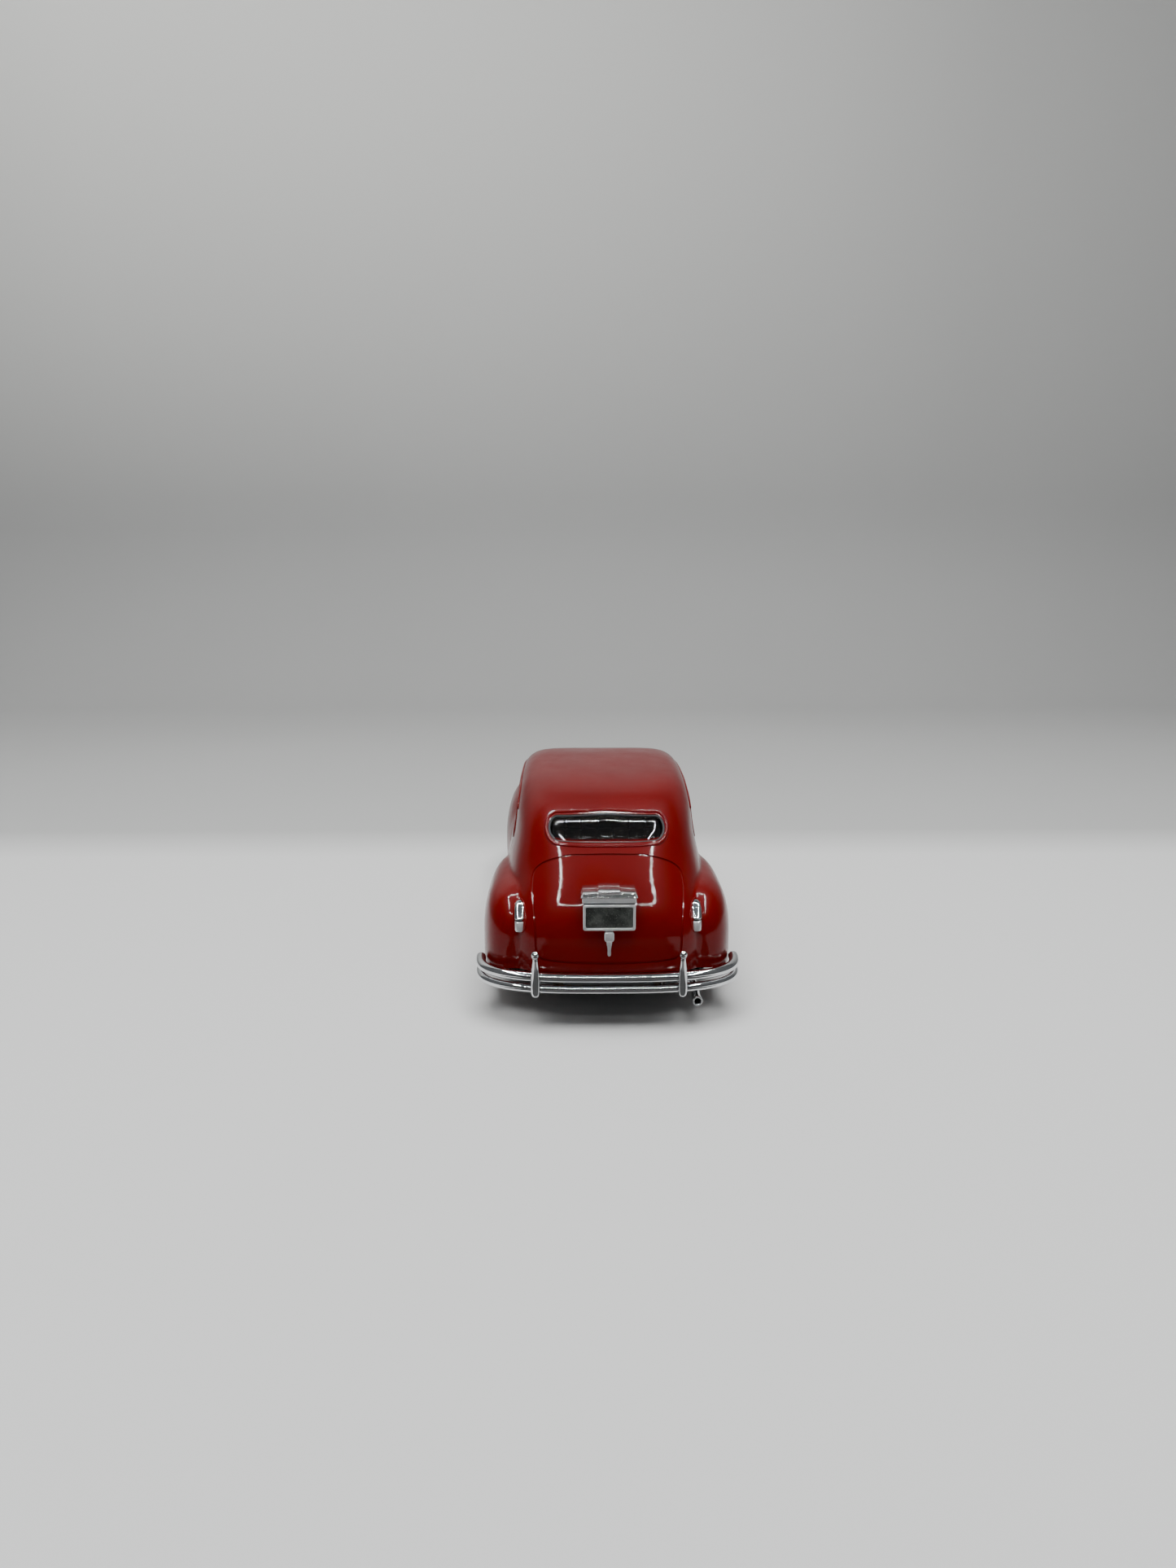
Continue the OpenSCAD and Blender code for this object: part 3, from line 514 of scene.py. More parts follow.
def tube_mesh(path, radius, sides=8, closed=False, normals=None, flat=1.0, lift=0.0):
    """Rings of points round a path. flat squashes the tube along the surface normal."""
    path = np.asarray(path, float)
    n = len(path)
    if closed:
        tangent = np.roll(path, -1, 0) - np.roll(path, 1, 0)
    else:
        tangent = np.gradient(path, axis=0)
    tangent /= np.linalg.norm(tangent, axis=1, keepdims=True)
    up = body_normal(path) if normals is None else np.broadcast_to(normals, path.shape).astype(float)
    up = up - tangent * (up * tangent).sum(1, keepdims=True)
    up /= np.linalg.norm(up, axis=1, keepdims=True)
    across = np.cross(tangent, up)
    radius = np.broadcast_to(radius, (n,))
    rings = []
    for a in np.linspace(0, 2 * math.pi, sides, endpoint=False):
        sideways = across * (radius * math.cos(a))[:, None]
        upward = up * (radius * flat * math.sin(a))[:, None]
        rings.append(path + up * lift + sideways + upward)
    vertices = np.stack(rings, 1).reshape(-1, 3)
    faces = ring_faces(n, sides, closed)
    return vertices, faces if closed else faces + end_caps(n, sides)


def bead(name, path, radius, material, slot=None, closed=False, sides=10, flat=1.0, lift=0.0):
    vertices, faces = tube_mesh(path, radius, sides, closed, None, flat, lift)
    return solid(name, vertices, faces, material, slot)


def prism_mesh(outline, low, high, axis):
    """An outline extruded between two heights along an axis (0 X, 1 Y, 2 Z)."""
    outline = np.asarray(outline, float)
    n = len(outline)
    rest = [k for k in range(3) if k != axis]
    vertices = np.zeros((2 * n, 3))
    for layer, level in enumerate((low, high)):
        rows = slice(layer * n, (layer + 1) * n)
        vertices[rows, rest] = outline
        vertices[rows, axis] = level
    return vertices, ring_faces(2, n) + end_caps(2, n)


def prism(name, outline, low, high, axis, bevel, material, slot="bright_trim", segments=3):
    obj = solid(name, *prism_mesh(outline, low, high, axis), material, slot)
    soften(obj, bevel, segments)
    obj.data.set_sharp_from_angle(angle=math.radians(40))
    return obj


def soften(obj, width, segments):
    with editing(obj) as work:
        sharp = [e for e in work.edges if e.is_manifold and e.calc_face_angle() > math.radians(30)]
        bmesh.ops.bevel(
            work, geom=sharp, offset=width * MM, segments=segments, profile=0.5, affect="EDGES",
            clamp_overlap=True)
    set_smooth(obj.data)


def lathe(name, profile, centre, axis, sides, material, body=CAR, angle=60, closed=False):
    """A profile of (radius, distance) turned about an axis through centre."""
    profile = np.asarray(profile, float)
    n = len(profile)
    axis = np.asarray(axis, float)
    side = np.cross(axis, UP) if abs(axis[2]) < 0.9 else np.array([1.0, 0, 0])
    side /= np.linalg.norm(side)
    other = np.cross(axis, side)
    vertices = []
    for a in np.linspace(0, 2 * math.pi, sides, endpoint=False):
        spoke = side * math.cos(a) + other * math.sin(a)
        vertices.append(np.array(centre) + profile[:, :1] * spoke + profile[:, 1:] * axis)
    faces = ring_faces(sides, n, True, n if closed else n - 1)
    obj = mesh_object(name, np.concatenate(vertices), faces, material, body)
    with editing(obj) as work:
        bmesh.ops.remove_doubles(work, verts=work.verts, dist=1e-7)
        bmesh.ops.recalc_face_normals(work, faces=work.faces)
    set_smooth(obj.data)
    obj.data.set_sharp_from_angle(angle=math.radians(angle))
    return obj


def trim_lathe(name, profile, centre, axis, sides, material="chrome"):
    return lathe(name, profile, centre, axis, sides, material, CAR)


def rounded(corners, radius, steps=6):
    """A closed outline with its corners rounded. radius is one number or one per corner."""
    p = np.array(corners, float)
    n = len(p)
    radii = [radius] * n if np.isscalar(radius) else radius
    out = []
    for i in range(n):
        a, b, c = p[i - 1], p[i], p[(i + 1) % n]
        u, v = (a - b) / np.linalg.norm(a - b), (c - b) / np.linalg.norm(c - b)
        half = math.acos(np.clip((u * v).sum(), -1, 1)) / 2
        cut = radii[i] / math.tan(half)
        centre = b + (u + v) / np.linalg.norm(u + v) * radii[i] / math.sin(half)
        start, end = b + u * cut - centre, b + v * cut - centre
        turn_a = math.atan2(start[1], start[0])
        turn_b = math.atan2(end[1], end[0])
        sweep = (turn_b - turn_a + math.pi) % (2 * math.pi) - math.pi
        for t in np.linspace(0, 1, steps + 1):
            a_t = turn_a + sweep * t
            out.append(centre + radii[i] * np.array([math.cos(a_t), math.sin(a_t)]))
    return np.array(out)


def grown(outline, by):
    """An outline moved outward by a distance."""
    p = np.asarray(outline, float)
    tangent = np.roll(p, -1, 0) - np.roll(p, 1, 0)
    tangent /= np.maximum(1e-9, np.linalg.norm(tangent, axis=1, keepdims=True))
    normal = np.stack([tangent[:, 1], -tangent[:, 0]], -1)
    area = (p[:, 0] * np.roll(p[:, 1], -1) - np.roll(p[:, 0], -1) * p[:, 1]).sum()
    return p + normal * (by if area > 0 else -by)


def circles_hull(corners, radius, steps=10):
    """The outline round equal circles at the corners."""
    spots = []
    for a, b in corners:
        for k in range(4 * steps):
            turn = math.pi * k / (2 * steps)
            spots.append((a + radius * math.cos(turn), b + radius * math.sin(turn)))
    spots = sorted(set((round(a, 5), round(b, 5)) for a, b in spots))

    def half(points):
        chain = []
        for p in points:
            while len(chain) > 1:
                (ax, ay), (bx, by) = chain[-2], chain[-1]
                if (bx - ax) * (p[1] - ay) - (by - ay) * (p[0] - ax) > 1e-9:
                    break
                chain.pop()
            chain.append(p)
        return chain[:-1]

    return np.array(half(spots) + half(spots[::-1]))


def framed(left, right, low, high, radius, steps=4):
    """A rounded rectangle."""
    return rounded([(left, low), (right, low), (right, high), (left, high)], radius, steps)


# ---------------------------------------------------------------- body shell
FAN_REAR, FAN_FRONT = -30.0, 34.0
FAN_STEPS, SIDE_STEPS, ROW_STEPS = 56, 84, 84
REAR_X, AXLE_Z = middle("rear_axle")[[0, 2]]
FRONT_X = middle("front_axle")[0]
WHEEL_Y = middle("rear_tyre_left")[1]
ARCH_R = 9.8
LAMP_Y, LAMP_Z = middle("headlamp_bezel_left")[1:]
LAMP_R = 3.8
TAIL_LAMP_Y = span("tail_lamp_left")[0][1] + 0.925

BELT, HEADER = 27.6, 34.4
FRONT_SIDE_WINDOW = circles_hull([(-3, BELT), (15, BELT), (10.6, HEADER - 1.3), (-3, HEADER - 1)], 1)
REAR_SIDE_WINDOW = circles_hull([(-7, BELT), (-24.5, BELT), (-21.5, HEADER - 1.8), (-7, HEADER - 1)], 1)
REAR_WINDOW = circles_hull([(-9.12, 32.5), (9.12, 32.5), (0, 32.85)], 1.9)
LEFT_SHIELD = circles_hull([(1.8, 31), (14, 31), (12.4, 35), (1.8, 35.4)], 1)
RIGHT_SHIELD = LEFT_SHIELD * [-1, 1]
GRILLE_HOLE = circles_hull([(-8.4, 11.6), (8.4, 11.6), (6.6, 17.2), (-6.6, 17.2)], 1.2)


def body_rays():
    """Ray starts and directions of the left half, columns from tail to nose, rows upward."""
    last = 2 * FAN_STEPS + SIDE_STEPS
    marks = [0, FAN_STEPS, FAN_STEPS + SIDE_STEPS, last]
    i = np.arange(last + 1)
    start = np.interp(i, marks, [FAN_REAR, FAN_REAR, FAN_FRONT, FAN_FRONT])
    angle = np.radians(np.interp(i, marks, [180, 90, 90, 0]))
    edge = edge_z(np.clip(start + 27 * np.cos(angle), TAIL, NOSE))
    lift = np.radians(np.linspace(0, 90, ROW_STEPS + 1))
    flat = np.where((i == 0) | (i == last), 0.0, 1.0)[:, None] * np.where(lift < math.pi / 2, 1.0, 0.0)
    origins = np.stack([start, 0 * start, edge], -1)[:, None, :].repeat(ROW_STEPS + 1, 1)
    ahead = np.cos(angle)[:, None] * np.cos(lift)
    aside = flat * np.sin(angle)[:, None] * np.cos(lift)
    upward = np.broadcast_to(np.sin(lift), ahead.shape)
    return origins, np.stack([ahead, aside, upward], -1)


def body_mesh():
    """The closed shell: skin, lining and the lower rim between them."""
    origins, directions = body_rays()
    skin = cast(origins, directions)
    lining = cast(origins, directions, -WALL)
    set_in = skin - body_normal(skin.reshape(-1, 3)).reshape(skin.shape) * WALL
    set_in[:, 0, 2] = skin[:, 0, 2]
    thin = np.linalg.norm(skin - lining, axis=-1) < 0.98 * WALL
    lining = np.where(thin[..., None], set_in, lining)
    columns, rows = skin.shape[:2]
    mirror = np.array([1, -1, 1])
    layers = [skin, skin * mirror, lining, lining * mirror]
    vertices = np.concatenate([layer.reshape(-1, 3) for layer in layers])
    size = columns * rows
    faces = []
    for side in (0, 1):
        for i in range(columns - 1):
            for j in range(rows - 1):
                a = side * size + i * rows + j
                quad = (a, a + rows, a + rows + 1, a + 1)
                faces.append(quad if side == 1 else quad[::-1])
                deep = tuple(k + 2 * size for k in quad)
                faces.append(deep[::-1] if side == 1 else deep)
            a = side * size + i * rows
            rim = (a, a + rows, a + rows + 2 * size, a + 2 * size)
            faces.append(rim[::-1] if side == 1 else rim)
    return vertices, faces


def welded(obj, distance=1e-6):
    with editing(obj) as work:
        bmesh.ops.remove_doubles(work, verts=work.verts, dist=distance)
        bmesh.ops.dissolve_degenerate(work, edges=work.edges, dist=1e-7)
        bmesh.ops.recalc_face_normals(work, faces=work.faces)


def joined_cutter(pieces):
    vertices, faces = [], []
    count = 0
    for piece_vertices, piece_faces in pieces:
        vertices.append(np.asarray(piece_vertices, float))
        faces += [tuple(k + count for k in f) for f in piece_faces]
        count += len(piece_vertices)
    obj = mesh_object("cutter", np.concatenate(vertices), faces, None, None)
    outward(obj)
    return obj


def carve(obj, pieces):
    """Takes closed pieces that don't touch each other away from obj."""
    cutter = joined_cutter(pieces)
    modifier = obj.modifiers.new("carve", "BOOLEAN")
    modifier.operation = "DIFFERENCE"
    modifier.solver = "EXACT"
    modifier.object = cutter
    evaluated = obj.evaluated_get(bpy.context.evaluated_depsgraph_get())
    carved = bpy.data.meshes.new_from_object(evaluated)
    obj.modifiers.clear()
    old = obj.data
    obj.data = carved
    bpy.data.meshes.remove(old)
    bpy.data.objects.remove(cutter)


def rod_mesh(centre, radius, low, high, axis, sides=72):
    a = np.linspace(0, 2 * math.pi, sides, endpoint=False)
    outline = np.stack([centre[0] + radius * np.cos(a), centre[1] + radius * np.sin(a)], -1)
    return prism_mesh(outline, low, high, axis)


def opening_cutters():
    cuts = []
    for low, high in ((12, 27), (-27, -12)):
        cuts.append(prism_mesh(FRONT_SIDE_WINDOW, low, high, 1))
        cuts.append(prism_mesh(REAR_SIDE_WINDOW, low, high, 1))
    for outline in (LEFT_SHIELD, RIGHT_SHIELD):
        cuts.append(prism_mesh(outline, 9, 30, 0))
    cuts.append(prism_mesh(REAR_WINDOW, -58, -30, 0))
    cuts.append(prism_mesh(GRILLE_HOLE, 50, 62, 0))
    for side in (-1, 1):
        cuts.append(rod_mesh((side * LAMP_Y, LAMP_Z), LAMP_R, 52.5, 62, 0, 48))
    return cuts


def arch_cutters():
    cuts = []
    for x in (REAR_X, FRONT_X):
        for low, high in ((17, 27), (-27, -17)):
            cuts.append(rod_mesh((x, AXLE_Z), ARCH_R, low, high, 1, 96))
    return cuts


def mirrored_loop(half):
    """A closed loop from its right half, given from the top centre to the bottom centre."""
    half = [tuple(p) for p in half]
    left = [(-a, b) for a, b in half[::-1] if a > 0]
    return half + left


TRUNK_HALF = [
    (0, 29.05), (4, 28.98), (7, 28.8), (10.2, 27.95), (12.2, 27), (13.5, 25.7), (13.85, 23.8), (13.6, 21.3),
    (13.25, 18.5), (13.05, 16), (12.95, 14.2), (12.6, 12.75), (11.2, 12.15), (7, 11.95), (0, 11.9)]


def trunk_seam():
    return seam_on(mirrored_loop(TRUNK_HALF), on_tail, 0.45)


def seam_on(spots, place, step=0.5):
    loop = smooth_path(spots, step, closed=True)
    return place(loop[:, 0], loop[:, 1])


FRONT_DOOR = [
    (-4.9, 34.4), (-4.9, 30), (-4.9, 24), (-4.9, 18), (-4.9, 12), (-4.7, 9.6), (-3.6, 9), (2, 9), (9, 9),
    (14.5, 9.05), (16.2, 9.8), (16.9, 12), (17.3, 17), (17.5, 22), (17.3, 26.4), (15.6, 29.3), (12.6, 33.2),
    (10.9, 34.6), (8.5, 35.1), (2, 35.3), (-3.6, 35.3)]
REAR_DOOR = [
    (-5.5, 34.4), (-5.5, 30), (-5.5, 24), (-5.5, 18), (-5.5, 12), (-5.7, 9.6), (-6.8, 9), (-10, 9),
    (-13.2, 9.05), (-14.6, 9.9), (-15.3, 12), (-16.4, 15.6), (-19.4, 19.6), (-23.6, 22.6), (-25.6, 25.2),
    (-26, 28), (-24.4, 31.2), (-22.6, 33.6), (-20.6, 34.6), (-16, 35.1), (-7, 35.3)]


def hood_seam(side):
    spots = [
        (55.6, 5.2), (53.8, 7.2), (50, 8.6), (44, 9.8), (36, 11.2), (28, 12.8), (24.8, 13), (23.4, 11.6),
        (23.1, 8), (23, 4), (23, 0)]
    line = smooth_path(spots, 0.5)
    points = on_top(line[:, 0], line[:, 1])
    return points * [1, side, 1]


def trunk_cutters():
    return [tube_mesh(trunk_seam(), 0.25, 8, True)]


def door_cutters(outline):
    seams = [seam_on(outline, partial(on_side, side=side)) for side in (1, -1)]
    return [tube_mesh(seam, 0.16, 8, True) for seam in seams]


def hood_cutters():
    left, right = hood_seam(1), hood_seam(-1)
    whole = np.vstack([left, right[::-1][1:]])
    return [tube_mesh(whole, 0.17, 8, False)]


def read_all(items, key, size, kind):
    values = np.zeros(len(items) * size, kind)
    items.foreach_get(key, values)
    return values.reshape(-1, size).astype(float) if size > 1 else values


def set_skin_normals(obj):
    """Gives the paint the exact normals of the surface it was sampled from."""
    data = obj.data
    set_smooth(data)
    data.set_sharp_from_angle(angle=math.radians(32))
    corner = read_all(data.corner_normals, "vector", 3, np.float32)
    places = read_all(data.vertices, "co", 3, np.float32) / MM
    owner = read_all(data.loops, "vertex_index", 1, np.int32)
    flat = read_all(data.polygons, "normal", 3, np.float32)
    totals = read_all(data.polygons, "loop_total", 1, np.int32)
    face_normal = flat[np.repeat(np.arange(len(totals)), totals)]
    normal = body_normal(places)
    on_skin = (np.abs(body_field(places)) < 0.03)[owner]
    facing = (face_normal * normal[owner]).sum(1) > 0.6
    use = on_skin & facing
    corner[use] = normal[owner][use]
    data.normals_split_custom_set([tuple(v) for v in corner])


def make_body():
    vertices, faces = body_mesh()
    shell = mesh_object("painted_body", vertices, faces, "paint", CAR)
    welded(shell)
    carve(shell, opening_cutters())
    carve(shell, arch_cutters())
    carve(shell, trunk_cutters() + hood_cutters())
    carve(shell, door_cutters(FRONT_DOOR))
    carve(shell, door_cutters(REAR_DOOR))
    set_skin_normals(shell)
    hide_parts("body_shell")


# ---------------------------------------------------------------- glazing
def scaled_ring(outline, share):
    middle = (outline.max(0) + outline.min(0)) / 2
    return middle + (outline - middle) * share


def pane(name, outline, place, node, front=0.3, crown=0.16, rolled=0.8, upright=0.0, material="clear"):
    """A moulded pane: a pillow-faced plug in the opening and a flange behind the wall.
    place(a, b) gives the paint's surface over a point of the outline. The plug's face
    sits deeper towards the bottom by the upright share of the height."""
    edge = spread(grown(outline, -0.12), 0.45)
    flat = grown(edge, -rolled)
    back = 2.05
    rings = [(scaled_ring(flat, share), front) for share in (0.15, 0.4, 0.65, 0.85)]
    for share in np.linspace(1, 0, 10):
        rings.append((grown(edge, -rolled * share), front + crown * (1 - share) ** 2.2))
    rings += [(edge, 1.5), (grown(edge, 0.7), 1.5), (grown(edge, 0.75), 1.7), (grown(edge, 0.7), back)]
    rings += [(scaled_ring(edge, share), back) for share in (0.9, 0.7, 0.45)]
    layers = []
    head = outline[:, 1].max()
    for ring, depth in rings:
        skin = place(ring[:, 0], ring[:, 1])
        lean = upright * np.clip(head - ring[:, 1], 0, None) if depth < 1 else 0 * ring[:, 1]
        layers.append(skin - body_normal(skin) * (depth + lean)[:, None])
    centre = scaled_ring(edge, 0.0)[:1]
    hub = place(centre[:, 0], centre[:, 1])
    inward = body_normal(hub)
    face_depth = front + upright * (head - centre[0, 1])
    vertices = np.concatenate(layers + [hub - inward * face_depth, hub - inward * back])
    count = len(edge)
    faces = ring_faces(len(rings), count)
    top = len(rings) * count
    last = top - count
    for k in range(count):
        m = (k + 1) % count
        faces += [(top, m, k), (top + 1, last + k, last + m)]
    obj = solid(name, vertices, faces, material, "glazing", 50)
    if node is not None:
        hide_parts(node)


def loop_on(outline, place, step=0.4):
    edge = spread(outline, step)
    return place(edge[:, 0], edge[:, 1])


def make_glazing():
    pane("rear_window_glass", REAR_WINDOW, on_tail, "rear_window_pane", 0.06, 0.4, 1.5, 0.16, "painted_shade_glazing")
    pane("windshield_glass_left", LEFT_SHIELD, on_front, "windshield_pane")
    pane("windshield_glass_right", RIGHT_SHIELD, on_front, None)
    for side, tag in ((1, "left"), (-1, "right")):
        place = partial(on_side, side=side)
        pane(f"front_side_glass_{tag}", FRONT_SIDE_WINDOW, place, f"side_pane_{tag}")
        pane(f"rear_side_glass_{tag}", REAR_SIDE_WINDOW, place, None)


def window_rim(name, outline, place, out, thick, flat=0.7):
    path = loop_on(grown(outline, out), place)
    bead(name, path, thick, "paint", "body_paint", True, 12 if flat < 0.7 else 10, flat, 0.02)


def window_seal(name, outline, place, inset, depth, thick, sides=8):
    path = loop_on(grown(outline, -inset), place)
    bead(name, path - body_normal(path) * depth, thick, "gasket", None, True, sides)


def make_window_trim():
    """The raised rim round the rear window, its dark seal, and slimmer rims round the others."""
    window_rim("rear_window_rim", REAR_WINDOW, on_tail, 0.42, 0.36, 0.62)
    window_seal("rear_window_seal", REAR_WINDOW, on_tail, 0.12, 0.28, 0.24, 10)
    for side, tag, shield in ((1, "left", LEFT_SHIELD), (-1, "right", RIGHT_SHIELD)):
        place = partial(on_side, side=side)
        for outline, part in ((FRONT_SIDE_WINDOW, "front"), (REAR_SIDE_WINDOW, "rear")):
            window_rim(f"{part}_side_window_rim_{tag}", outline, place, 0.28, 0.24)
            window_seal(f"{part}_side_window_seal_{tag}", outline, place, 0.1, 0.45, 0.2)
        window_rim(f"windshield_rim_{tag}", shield, on_front, 0.22, 0.22)
        window_seal(f"windshield_seal_{tag}", shield, on_front, 0.1, 0.45, 0.2)
        gutter = smooth_path(
            [(15.9, 32.2), (13.6, 34.6), (10.5, 35.7), (4, 36.2), (-4, 36.35), (-12, 36.2), (-19, 35.7),
             (-23.5, 34.6), (-26.6, 32.6)], 0.5)
        path = on_side(gutter[:, 0], gutter[:, 1], side)
        bead(f"drip_rail_{tag}", path, 0.26, "paint", "body_paint", False, 8, 0.8, 0.04)


# ---------------------------------------------------------------- bright trim
BAR_P = 3.0
BAR_END = 48.2


def bar_path(z, reach, half_width, way):
    t = np.radians(np.linspace(-90, 90, 721))
    x = BAR_END + (reach - BAR_END) * np.maximum(0, np.cos(t)) ** (2 / BAR_P)
    y = half_width * np.sign(t) * np.abs(np.sin(t)) ** (2 / BAR_P)
    dense = np.stack([way * x, y, np.full_like(x, z)], -1)
    run = run_along(dense)
    return at_runs(dense, run, np.linspace(0, run[-1], 170)), run[-1]


def bumper_bar(name, z, half_t, half_h, reach, half_width, way):
    path, length = bar_path(z, reach, half_width, way)
    from_end = np.minimum(np.linspace(0, length, len(path)), np.linspace(length, 0, len(path)))
    cap = np.clip(from_end / half_t, 0.0, 1.0)
    radius = half_t * np.maximum(0.12, np.sqrt(1 - (1 - cap) ** 2))
    vertices, faces = tube_mesh(path, radius, 24, False, UP, half_h / half_t)
    return solid(name, vertices, faces, "chrome")


def overrider(name, x, y):
    profile = [
        (0, 6.2), (0.4, 6.22), (0.66, 6.36), (0.78, 6.62), (0.82, 7.1), (0.84, 8), (0.83, 9), (0.78, 10.2),
        (0.68, 11.4), (0.57, 12.3), (0.49, 12.85), (0.47, 13.1), (0.5, 13.28)]
    for k in range(9):
        turn = math.radians(-52 + 142 * k / 8)
        profile.append((0.74 * math.cos(turn), 13.93 + 0.74 * math.sin(turn)))
    trim_lathe(name, profile, (x, y, 0), UP, 32)


def make_bumper(name, way):
    """Both bumpers are the same, so the front one's box places them."""
    low, high = span("front_bumper")
    tip, wide, foot = high[0], high[1], low[2]
    upper = bumper_bar(f"{name}_upper_bar", foot + 3.4, 0.95, 0.86, tip - 1.25, wide - 0.995, way)
    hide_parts(name)
    bumper_bar(f"{name}_lower_bar", foot + 1.3, 0.78, 0.78, tip - 1.17, wide - 0.845, way)
    for side, tag in ((1, "left"), (-1, "right")):
        overrider(f"{name}_overrider_{tag}", way * (tip - 0.86), side * 13)
        near, far = sorted((way * 52, way * (tip - 1.6)))
        stay = framed(near, far, side * 9 - 1, side * 9 + 1, 0.3, 6)
        prism(f"{name}_bracket_{tag}", stay, 6.95, 8.05, 2, 0.12, "chrome")


def make_plate_bracket():
    """Each part is a rounded rectangle seen from behind: half width, lower and upper height over
    the bracket's foot, corner radius, nearest and farthest depth, bevel, material."""
    back, _, foot = span("plate_bracket")[0]
    outer = framed(-4.6, 4.6, foot, foot + 4.7, 0.3, 5)
    inner = framed(-4.16, 4.16, foot + 0.44, foot + 4.26, 0.12, 5)
    frame_piece = ring_plate("plate_frame", outer, inner, back + 0.02, back + 0.8, "satin")
    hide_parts("plate_bracket")
    parts = {
        "blank_plate": (4.3, 0.3, 4.4, 0.1, 0.38, 0.75, 0.05, "plate"),
        "plate_stem": (3.2, 0.6, 4.4, 0.3, 0.65, 4.5, 0.1, "chrome"),
        "plate_lamp_soffit": (4.5, 4.6, 5, 0.1, 0.6, 5.1, 0.08, "dark"),
        "plate_lamp_band": (4.72, 4.95, 5.9, 0.14, 0.22, 5.1, 0.14, "satin"),
        "plate_lamp_lip": (4.95, 5.9, 6.2, 0.1, 0.02, 5.5, 0.1, "chrome")}
    for name, (half, low, high, radius, near, far, bevel, material) in parts.items():
        outline = framed(-half, half, foot + low, foot + high, radius)
        prism(name, outline, back + near, back + far, 0, bevel, material)
    hood = rounded(
        [(-4.75, foot + 6.15), (4.75, foot + 6.15), (4.7, foot + 6.6), (2.5, foot + 6.68),
         (-2.5, foot + 6.68), (-4.7, foot + 6.6)], 0.14, 4)
    prism("plate_lamp_hood", hood, back + 0.5, back + 5.9, 0, 0.2, "chrome")
    boss = rounded([(-2.2, foot + 6.3), (2.2, foot + 6.3), (1.95, foot + 7), (-1.95, foot + 7)], 0.16, 4)
    prism("plate_lamp_boss", boss, back + 0.35, back + 5.9, 0, 0.2, "chrome")
    nub = [(0, 6.8), (0.28, 6.8), (0.26, 7), (0.14, 7.07), (0, 7.09)]
    trim_lathe("plate_lamp_screw", nub, (back + 0.9, 0, foot), UP, 20)


def ring_plate(name, outer, inner, low, high, material):
    """A flat frame between two outlines, with softened edges."""
    outer = spread(outer, 0.3)
    middle = (outer.max(0) + outer.min(0)) / 2
    ratio = np.ptp(inner, 0) / np.ptp(outer, 0)
    inner = middle + (outer - middle) * ratio
    rings = [
        (outer, high), (outer, low + 0.12), (grown(outer, -0.05), low + 0.03), (grown(outer, -0.13), low),
        (grown(inner, 0.13), low), (grown(inner, 0.05), low + 0.03), (inner, low + 0.12), (inner, high)]
    count = len(outer)
    vertices = [np.column_stack([np.full(count, level), ring]) for ring, level in rings]
    faces = ring_faces(len(rings), count, True)
    return solid(name, np.concatenate(vertices), faces, material, angle=50)


def make_trunk_handle():
    low, high = span("trunk_handle")
    back, foot, top = low[0] + 0.3, low[2], high[2]
    half = [(0.66, top - 1.8), (0.86, top - 1.4), (0.86, top - 0.35), (0.6, top - 0.02)]
    block = rounded(half + [(-y, z) for y, z in half[::-1]], 0.2, 4)
    grip = prism("trunk_handle_block", block, back + 0.05, back + 2.1, 0, 0.2, "satin", segments=4)
    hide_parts("trunk_handle")
    profile = [
        (0, 0.02), (0.2, 0.05), (0.3, 0.2), (0.33, 0.6), (0.3, 1.1), (0.36, 1.6), (0.46, 2.1), (0.52, 2.5),
        (0.52, 2.8), (0, 2.85)]
    trim_lathe("trunk_handle_pin", profile, (back + 0.35, 0, foot), UP, 24, "satin")
    stay = framed(-0.28, 0.28, foot + 0.2, foot + 0.8, 0.15)
    prism("trunk_handle_foot", stay, back + 0.4, back + 2.2, 0, 0.08, "chrome")


def rounded_wave(wave):
    """A cosine or sine squared off a little."""
    return np.sign(wave) * np.abs(wave) ** (2 / 2.6)


def shell_on_fender(name, levels, side, material):
    """A blister on the rear fender: [height, half width, how far it stands out]."""
    rows = np.array(levels, float)
    heights = np.linspace(rows[0, 0], rows[-1, 0], 33)
    width = np.interp(heights, rows[:, 0], rows[:, 1])
    stand = np.interp(heights, rows[:, 0], rows[:, 2])
    turns = np.linspace(0, 2 * math.pi, 33)[:-1]
    across, out = rounded_wave(np.cos(turns)), rounded_wave(np.sin(turns))
    vertices = []
    for z, w, d in zip(heights, width, stand):
        back = on_tail(np.array([side * TAIL_LAMP_Y]), np.array([z]))[0, 0]
        x = back + 0.35 - (d + 0.35) * np.where(out > 0, out, 0.25 * out)
        vertices.append(np.column_stack([x, side * TAIL_LAMP_Y + w * across, np.full_like(x, z)]))
    rings, count = len(heights), len(turns)
    faces = ring_faces(rings, count) + end_caps(rings, count)
    return solid(name, np.concatenate(vertices), faces, material, angle=50)


